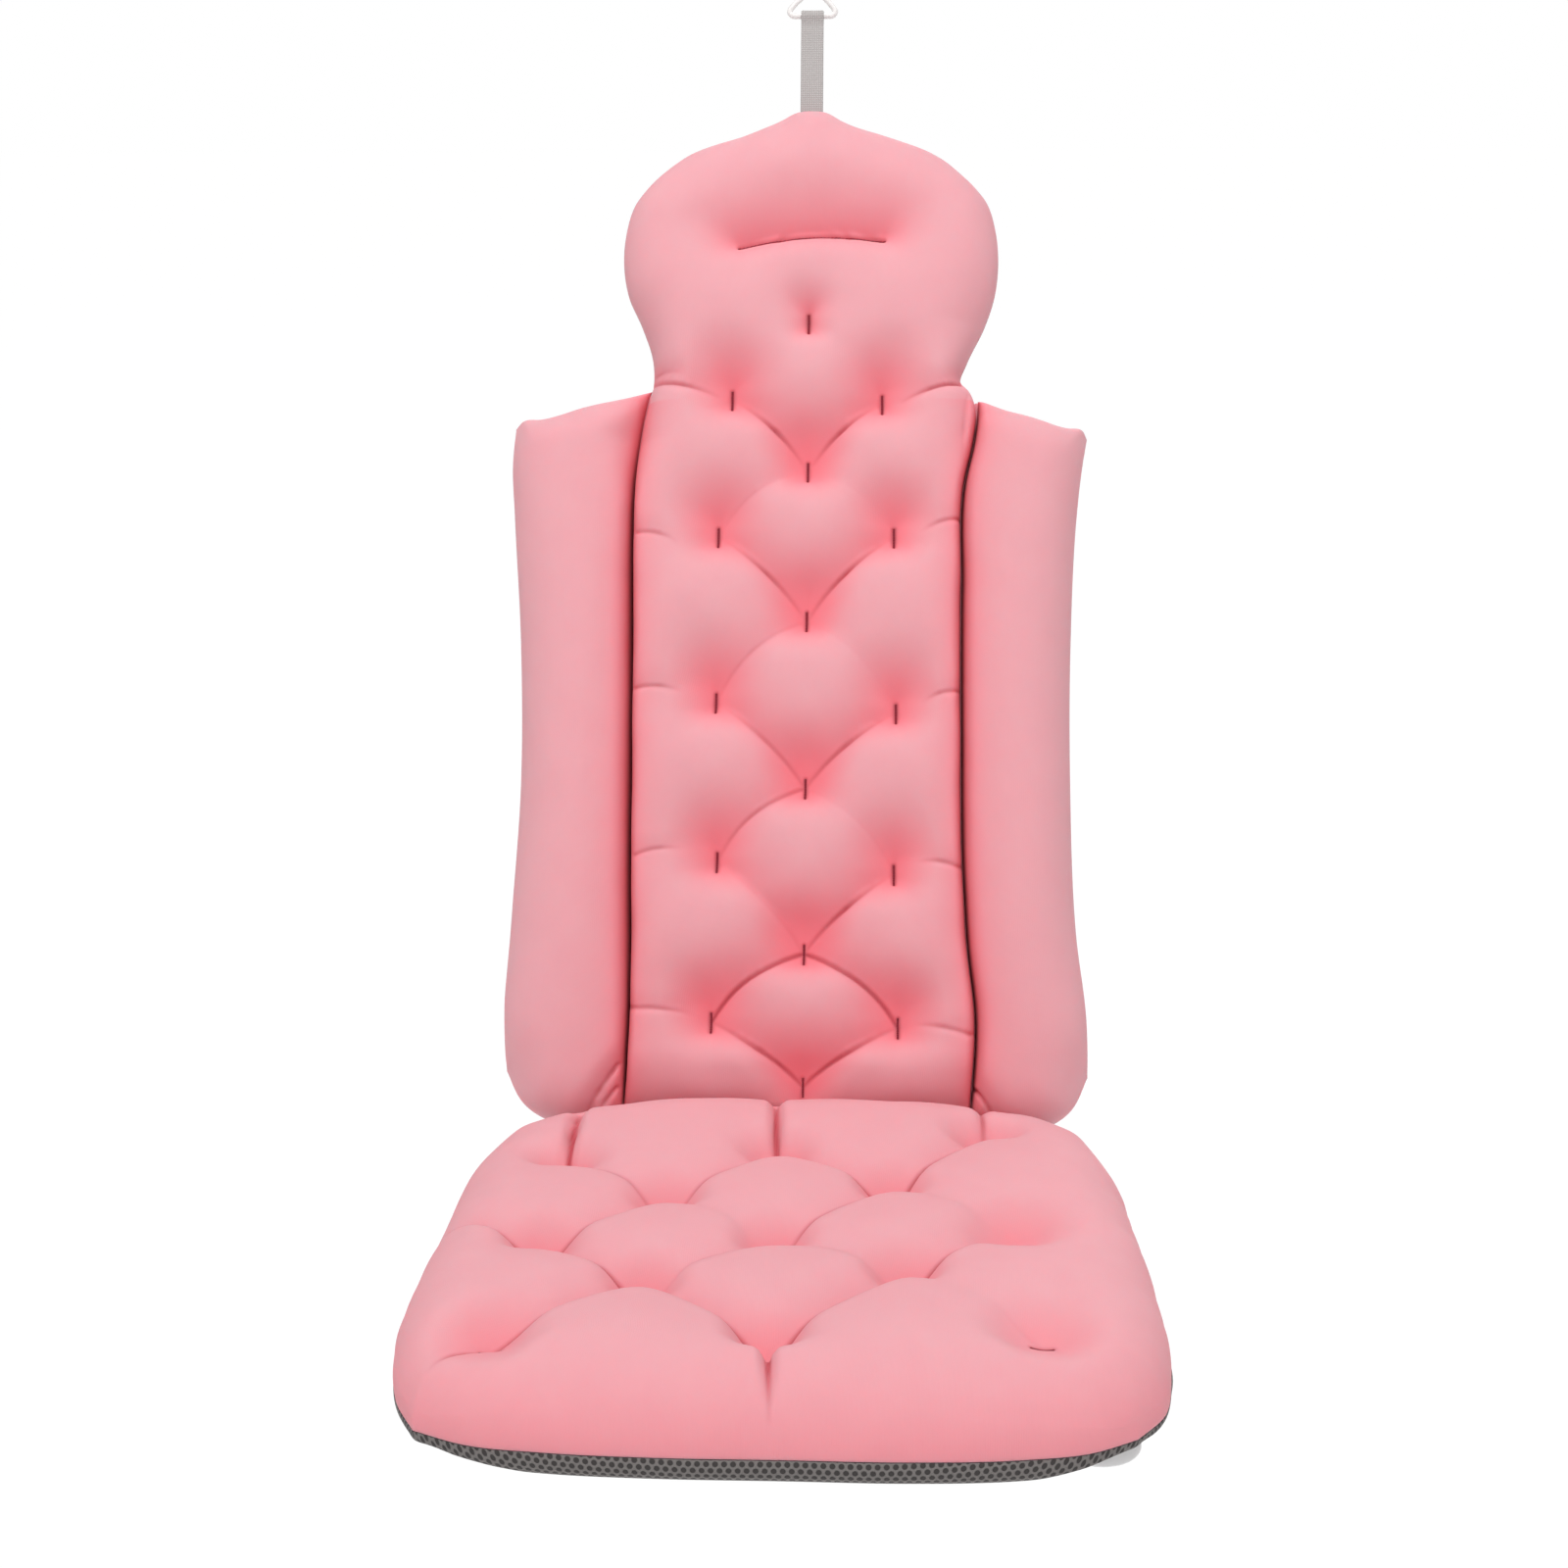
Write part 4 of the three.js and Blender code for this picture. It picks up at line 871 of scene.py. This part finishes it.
for side, sign, lines, wrinkles in (
        ("left", -1, left_lines, left_wrinkles), ("right", 1, right_lines, right_wrinkles)):
    plan = span(lines["foot"], lines["top"], lines["inner"], lines["outer"], across, along)
    inner_gap, outer_gap = gap_to(plan, plan[:, 0]), gap_to(plan, plan[:, -1])
    low_gap, high_gap = gap_to(plan, plan[0]), gap_to(plan, plan[-1])
    opening = np.clip((plan[..., 1] - SHOULDER_FROM) / SHOULDER_RUN, 0, 1) * (sign < 0)
    rise = quarter_rise(inner_gap, INNER_EDGE + SHOULDER * opening, 3 - opening)
    rise *= quarter_rise(outer_gap, OUTER_EDGE)
    rise *= quarter_rise(low_gap, FOOT_EDGE) * quarter_rise(high_gap, TOP_EDGE)
    pinches = [fold(one, other, 2, (share, share, 0.5 * share), (0.9, 0.7, 0.2), (8, 16))
               for one, other, share in wrinkles]
    rise *= 1 - fold_depth(plan, pinches)
    grid = np.dstack([plan, SIDE_SEAM + rise * (BOLSTER_CROWN - SIDE_SEAM)])
    pins, soft_pins = edge_pins(plan.shape[:2]), near_folds(plan, pinches, HOLD_REACH)
    grid = swell(f"{side}_bolster_sheet", grid, pins, soft_pins, BOLSTER_GROWTH, BOLSTER_CAP)
    grid[..., 0] = np.maximum(grid[..., 0], plan[:, :1, 0])
    skin, fine_plan, creases = press_creases(grid, plan, pinches, 1)
    # Painted shade: deeper pink beside the groove and in the pinches, and dark red lines down the groove and
    # in the pinches.
    fine_gap = fine(inner_gap)
    groove = GROOVE_LINE * np.exp(-fine_gap ** 2) * (1 - fine(opening))
    marks = {"hollow_shade": np.maximum(np.exp(-fine_gap / GROOVE_SHADE_RUN), fold_depth(fine_plan, pinches)),
             "crease": np.maximum(PINCH_LINE * creases, groove)}
    under = quarter_rise(inner_gap, UNDER_EDGE) * quarter_rise(outer_gap, UNDER_EDGE)
    under *= quarter_rise(low_gap, UNDER_EDGE) * quarter_rise(high_gap, UNDER_EDGE)
    below = finer(np.dstack([plan, SIDE_SEAM - SEAM_GAP + under * (BACK_BASE - SIDE_SEAM)]))
    if sign < 0:
        skin, below = skin[:, ::-1] * (-1, 1, 1), below[:, ::-1] * (-1, 1, 1)
        marks = {mark: values[:, ::-1] for mark, values in marks.items()}
    body = f"{side}_bolster"
    cover = cushion_half(f"{body}_padded_cover", skin, back_frame, knit, marks=marks)
    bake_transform(cover)
    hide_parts(f"{body}_cover", f"{body}_filling")
    mesh_side = cushion_half(f"{body}_mesh_underside", below, back_frame, air_mesh, faces_down=True)
    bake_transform(mesh_side)
    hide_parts(f"{body}_air_mesh")

# %% [markdown]
# A bar tack is a dense row of short stitches over a few laid threads, sewn by machine through the whole
# cushion. Each stitch is a small flattened ball, and the row lies on the finished cover at the bottom of its
# tuft.


# %% Stitches
def mesh_object(name, bm, local_frame, material):
    """A finished object from a bmesh in a cushion's millimetres."""
    bmesh.ops.recalc_face_normals(bm, faces=bm.faces)
    mesh = bpy.data.meshes.new(name)
    bm.to_mesh(mesh)
    bm.free()
    move_to(mesh, place(points_of(mesh), local_frame))
    return finished(name, mesh, material)


NEAR_REACH, NEAR_BLUR = 4, 1.2


def on_cover(cover, xy):
    """Point and normal of a cover over a plan point, averaged over its nearest points."""
    skin, plan, normals = cover
    near = (np.abs(plan - xy) < NEAR_REACH).all(-1)
    weight = np.exp(-((plan[near] - xy) ** 2).sum(-1) / NEAR_BLUR ** 2)[:, None]
    point = (skin[near] * weight).sum(0) / weight.sum()
    return Vector(point), Vector((normals[near] * weight).sum(0)).normalized()


def add_stitch(bm, point, along, up, long, thick):
    """One stitch: a flattened ball, long in its own direction."""
    side = up.cross(along).normalized()
    along = side.cross(up).normalized()
    turn = Matrix((along, side, up)).transposed().to_4x4()
    size = Matrix.Diagonal((long / 2, thick / 2, thick / 2, 1))
    matrix = Matrix.Translation(point) @ turn @ size
    bmesh.ops.create_uvsphere(bm, u_segments=8, v_segments=5, radius=1, matrix=matrix)


TACK_LONG, TACK_WIDE, TACK_THICK, TACK_STITCHES, STITCH_LIFT = 13.5, 1.7, 1.3, 13, 0.2
for places, cover, local_frame, run, body in (
        (seat_tacks, seat_skin, seat_frame, Vector((1, 0, 0)), "seat"),
        (back_tacks, back_skin, back_frame, Vector((0, 1, 0)), "back"),
        (head_tacks, back_skin, back_frame, Vector((0, 1, 0)), "head")):
    for name, centre in places.items():
        bm = bmesh.new()
        for k in range(TACK_STITCHES):
            off = run * (k / (TACK_STITCHES - 1) - 0.5) * (TACK_LONG - 1)
            point, up = on_cover(cover, centre[:2] + np.array(off)[:2])
            add_stitch(bm, point + up * STITCH_LIFT, up.cross(run), up, TACK_WIDE, TACK_THICK)
        tack = mesh_object(f"{name}_thread", bm, local_frame, thread)
        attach(tack, body)
        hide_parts(name)
print(len(seat_tacks) + len(back_tacks) + len(head_tacks), "bar tacks")

# %% Stitched slit of the head
bm = bmesh.new()
SLIT_LONG, SLIT_PITCH, SLANTED, SLIT_STITCH, SLIT_THICK = 103, 2.6, 0.75, 3.0, 0.9
count = round(SLIT_LONG / SLIT_PITCH)
for k in range(count):
    share = k / (count - 1)
    xy = np.array([np.interp(share, FOLD_SHARES, slit["path"][:, axis]) for axis in (0, 1)])
    point, up = on_cover(back_skin, xy)
    slant = Vector((0.8, 0.6, 0)) if share < SLANTED else Vector((1, 0.02, 0))
    add_stitch(bm, point + up * STITCH_LIFT, slant, up, SLIT_STITCH, SLIT_THICK)
slit_thread = mesh_object("head_slit_thread", bm, back_frame, thread)
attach(slit_thread, "head")
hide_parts("head_channel_stitch")
print(count, "stitches along the slit")

# %% [markdown]
# Narrow rolled bindings close the seams where two cushions meet: along both bolsters, and along the crease.
# They are round cords of tape, built as tubes along their seams.


# %% Tubes and bindings
def loft(bm, rings):
    """Faces between rings of points, closed at both ends."""
    for one, other in zip(rings, rings[1:]):
        for k in range(len(one)):
            n = (k + 1) % len(one)
            bm.faces.new((one[k], one[n], other[n], other[k]))
    bm.faces.new(rings[0][::-1])
    bm.faces.new(rings[-1])


def steps_along(line):
    """Length along a line at each of its points."""
    return np.concatenate([[0], np.cumsum(np.linalg.norm(np.diff(line, axis=0), axis=1))])


def tube(bm, path, radius, sides):
    """A tube along a path, with rounded ends."""
    path = np.asarray(path, float)
    heading = np.gradient(path, axis=0)
    heading /= np.linalg.norm(heading, axis=1, keepdims=True)
    rings = []
    side = np.cross(heading[0], (0, 0, 1))
    ends = [(0, t) for t in (0.35, 0.75)] + [(k, 1) for k in range(len(path))]
    ends += [(-1, t) for t in (0.75, 0.35)]
    for count, (k, size) in enumerate(ends):
        ahead = heading[k]
        side = side - ahead * np.dot(side, ahead)
        side /= np.linalg.norm(side)
        up = np.cross(side, ahead)
        bulge = radius * math.sqrt(1 - size * size) * (-1 if k == 0 and count < 2 else 1 if size < 1 else 0)
        middle = path[k] + ahead * bulge
        turn = np.arange(sides) * 2 * math.pi / sides
        ring = middle + radius * size * (np.cos(turn)[:, None] * side + np.sin(turn)[:, None] * up)
        rings.append([bm.verts.new(point) for point in ring])
    loft(bm, rings)


SEAM_SHARES, BINDING_RADIUS, CREASE_HALF = np.linspace(0.005, 1, 60), 2.0, 122
left_seam = smooth_line(left_groove + [(-113, 504)], SEAM_SHARES)
right_seam = smooth_line(right_groove + [(118.4, 490), (118.5, 499)], SEAM_SHARES)
for name, path in (
        ("left_bolster_binding", [(x, y, SIDE_SEAM) for x, y in left_seam]),
        ("right_bolster_binding", [(x, y, SIDE_SEAM) for x, y in right_seam]),
        ("seat_fold_binding", [(x, 0, 0) for x in np.linspace(-CREASE_HALF, CREASE_HALF, 40)])):
    bm = bmesh.new()
    tube(bm, path, BINDING_RADIUS, 12)
    cord = mesh_object(f"{name}_tape", bm, back_frame, tape)
    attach(cord, "back")
    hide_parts(name)
    print(cord.name, round(float(steps_along(path)[-1])), "mm")

# %% [markdown]
# Eight suction cups hold the pillow on the tub. Each is moulded in one piece: a thin bell with a soft rim, a
# neck through the mesh and a flat button inside that keeps it there. It is a turned shape, so its profile is
# spun.

# %% Suction cups
CUP_HIGH, CUP_STEPS = 11, 48
profile = [(0, 4.8), (7.2, 4.8), (8, 4.2), (8, 2.8), (7.4, 2.2), (4.5, 2.2), (4.5, -0.6), (8.4, -0.8),
           (9.4, -1.3), (13, -2.6), (16.5, -4.6), (19.6, -6.8), (22, -8.8), (23.6, -10.1), (24, -10.6),
           (23.7, -11), (21.6, -11), (19.5, -9.9), (16.2, -8.6), (12, -7.4), (7, -6.4), (3, -6.05), (0, -6)]
for name in frame["nodes"]:
    if not name.endswith("cup"):
        continue
    on_seat = name.startswith("seat")
    local_frame = seat_frame if on_seat else back_frame
    low, high = packed_box(name, local_frame)
    centre = Vector(((low[0] + high[0]) / 2, (low[1] + high[1]) / 2, low[2] + CUP_HIGH))
    bm = bmesh.new()
    verts = [bm.verts.new((radius, 0, height)) for radius, height in profile]
    edges = [bm.edges.new(pair) for pair in zip(verts, verts[1:])]
    bmesh.ops.spin(bm, geom=verts + edges, axis=(0, 0, 1), cent=(0, 0, 0), angle=2 * math.pi, steps=CUP_STEPS,
                   use_merge=True)
    bmesh.ops.remove_doubles(bm, verts=bm.verts, dist=0.01)
    bmesh.ops.translate(bm, verts=bm.verts, vec=centre)
    cup = mesh_object(f"{name}_moulding", bm, local_frame, vinyl)
    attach(cup, "seat" if on_seat else "back")
    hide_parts(name)
print("suction cups", sum(name.endswith("cup") for name in frame["nodes"]))

# %% [markdown]
# A strap of webbing is sewn into the top of the head, folded double round the bar of the hook. The strap is
# drawn as the line of its fold seen from the side, thickened and widened. Its selvedges are slightly thicker.

# %% Strap
low, high = packed_box("strap", back_frame)
STRAP_WIDE, LAYER, PACKED_LAYER, WIRE = 16, 1.4, 1.5, 4.2
PACKED_PLAY, PLAY, SEWN_IN = 0.3, 0.4, 6
strap_y, strap_z = low[1] + PACKED_LAYER, (low[2] + high[2]) / 2
sewn_y, bar_y = TIP - SEWN_IN, high[1] - (WIRE / 2 + PACKED_PLAY + PACKED_LAYER)
eye = WIRE / 2 + PLAY + LAYER / 2
fold_line = [(sewn_y, LAYER / 2 + 0.05), (strap_y + 20, LAYER / 2 + 0.05), (bar_y - 12, LAYER / 2 + 0.1),
             (bar_y - 6, 1.1), (bar_y - 2.6, 2.3)]
fold_line += [(bar_y + eye * math.sin(a), eye * math.cos(a)) for a in np.linspace(-0.2, math.pi + 0.2, 15)]
fold_line += [(y, -z) for y, z in fold_line[4::-1]]
fold_line = smooth_line(fold_line, np.linspace(0, 1, 180))
heading = np.gradient(fold_line, axis=0)
heading /= np.linalg.norm(heading, axis=1, keepdims=True)
outward = np.stack([-heading[:, 1], heading[:, 0]], axis=1)
half = STRAP_WIDE / 2
section = [(-half, 0.5), (-half, -0.5), (-half + 0.6, -0.8), (-half + 1.6, -1), (-half + 2.2, -0.85)]
section += [(x, -0.85) for x in np.linspace(-4, 4, 5)]
section += [(-x, z) for x, z in section[4::-1]]
section += [(x, -z) for x, z in section[::-1] if abs(z) > 0.55]
bm = bmesh.new()
weave = bm.loops.layers.uv.new("cloth")
rings = [[bm.verts.new((x, *(middle + out * z * LAYER / 2 * 0.98))) for x, z in section]
         for middle, out in zip(fold_line, outward)]
loft(bm, rings)
run = steps_along(fold_line)
on_cloth = {vert: (x / UV_MM, y / UV_MM)
            for ring, y in zip(rings, run) for vert, (x, _) in zip(ring, section)}
for face in bm.faces:
    for loop in face.loops:
        loop[weave].uv = on_cloth[loop.vert]
bmesh.ops.translate(bm, verts=bm.verts, vec=(0, 0, strap_z))
strap = mesh_object("strap_webbing", bm, back_frame, webbing)
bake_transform(strap)
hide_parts("strap")
print("strap", round(float(run[-1])), "mm of webbing, swings at", round(float(strap_y), 1))

# %% [markdown]
# The hook is bent like wire: a triangle whose lower side is the bar in the strap's loop, and an open bow
# above it that hangs on a rail. Its line is made of arcs and straight runs, and a tube follows the line,
# because that keeps the same thickness round every corner.

# %% Hook
HALF, CORNER, BOW, TIP_ANGLE = 13, 3.2, 17, -30
apex = CORNER + HALF + CORNER * math.sqrt(2)
bow_y = apex + BOW * math.sqrt(2)


def arc(x, y, radius, first, last, steps):
    return [(x + radius * math.cos(math.radians(a)), y + radius * math.sin(math.radians(a)))
            for a in np.linspace(first, last, steps)]


wire = [(-1.7, apex - 1.7)] + arc(-HALF, CORNER, CORNER, 135, 270, 8) + [(1 - HALF, 0), (HALF - 1, 0)]
wire += arc(HALF, CORNER, CORNER, 270, 405, 8) + arc(0, bow_y, BOW, 225, TIP_ANGLE, 28)
wire = smooth_line(wire, np.linspace(0, 1, 150))
bm = bmesh.new()
tube(bm, [(x, bar_y + y, strap_z) for x, y in wire], WIRE / 2, 20)
hook = mesh_object("hook_wire", bm, back_frame, nylon)
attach(hook, "hook")
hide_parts("hook")
print("hook of", round(float(steps_along(wire)[-1])), "mm of wire")

# %% [markdown]
# The picture is lit as in a studio, by a large soft lamp above and a little in front, with weak light from
# all sides. The background is white, as the floor is. The floor lies low enough for the seat to swing to its
# limit.

# %% Floor
FLOOR_HALF, FLOOR_DROP = 30, 0.36
floor_mesh = bpy.data.meshes.new("floor")
bm = bmesh.new()
bmesh.ops.create_grid(bm, x_segments=1, y_segments=1, size=FLOOR_HALF)
bm.to_mesh(floor_mesh)
bm.free()
floor = link_object("floor", floor_mesh)
floor.location.z = -FLOOR_DROP
paper, tree, shader = new_material("white_paper")
set_inputs(tree, shader, {"Base Color": linear("#FFFFFF"), "Roughness": 0.9})
seen = add_node(tree, "ShaderNodeLightPath").outputs["Is Camera Ray"]
lit = add_node(tree, "ShaderNodeMapRange", {"Value": seen, "To Min": 0.25, "To Max": 0.94})
glow = add_node(tree, "ShaderNodeEmission", {"Color": (1, 1, 1, 1), "Strength": 1.04})
both = add_node(tree, "ShaderNodeMixShader", {
    0: lit.outputs["Result"], 1: shader.outputs["BSDF"], 2: glow.outputs["Emission"]})
set_inputs(tree, tree.nodes["Material Output"], {"Surface": both.outputs["Shader"]})
floor_mesh.materials.append(paper)
print("floor", FLOOR_DROP, "m below the seat")

# %% Light
scene = bpy.context.scene
scene.view_settings.view_transform = "Standard"
world = bpy.data.worlds.new("studio")
world.use_nodes = True
tree = world.node_tree
fill = tree.nodes["Background"]
set_inputs(tree, fill, {"Color": (1, 0.93, 0.94, 1), "Strength": 0.42})
backdrop = add_node(tree, "ShaderNodeBackground", {"Color": (1, 1, 1, 1), "Strength": 1.0})
seen = add_node(tree, "ShaderNodeLightPath").outputs["Is Camera Ray"]
both = add_node(tree, "ShaderNodeMixShader", {
    0: seen, 1: fill.outputs["Background"], 2: backdrop.outputs["Background"]})
set_inputs(tree, tree.nodes["World Output"], {"Surface": both.outputs["Shader"]})
scene.world = world
LAMP_AIM = Vector((0, 0, 0.35))
for name, where, size, power in (("key", (-0.2, -1.3, 4.2), 2.4, 114), ("front", (0.1, -2.6, 1.0), 1.8, 11),
                                ("rear", (0.4, 2.6, 1.2), 1.8, 25)):
    light = bpy.data.lights.new(name, "AREA")
    light.energy = power
    light.size = size
    lamp = link_object(name, light)
    lamp.location = where
    lamp.rotation_euler = (LAMP_AIM - lamp.location).to_track_quat("-Z", "Y").to_euler()
    print("light", name, power, "W")

# %% Camera
SENSOR_MM, LENS_MM, LOOK_DOWN, LEAN, PAN = 36, 53.5, 17.2, 0.3, 2.3
camera_data = bpy.data.cameras.new("camera")
camera_data.sensor_width = SENSOR_MM
camera_data.lens = LENS_MM
camera = link_object("camera", camera_data)
camera.location = (0.050, -1.511, 0.748)
camera.rotation_euler = (math.radians(90 - LOOK_DOWN), math.radians(LEAN), math.radians(PAN))
scene.camera = camera
print("lens", LENS_MM, "mm, looking down by", LOOK_DOWN, "degrees")
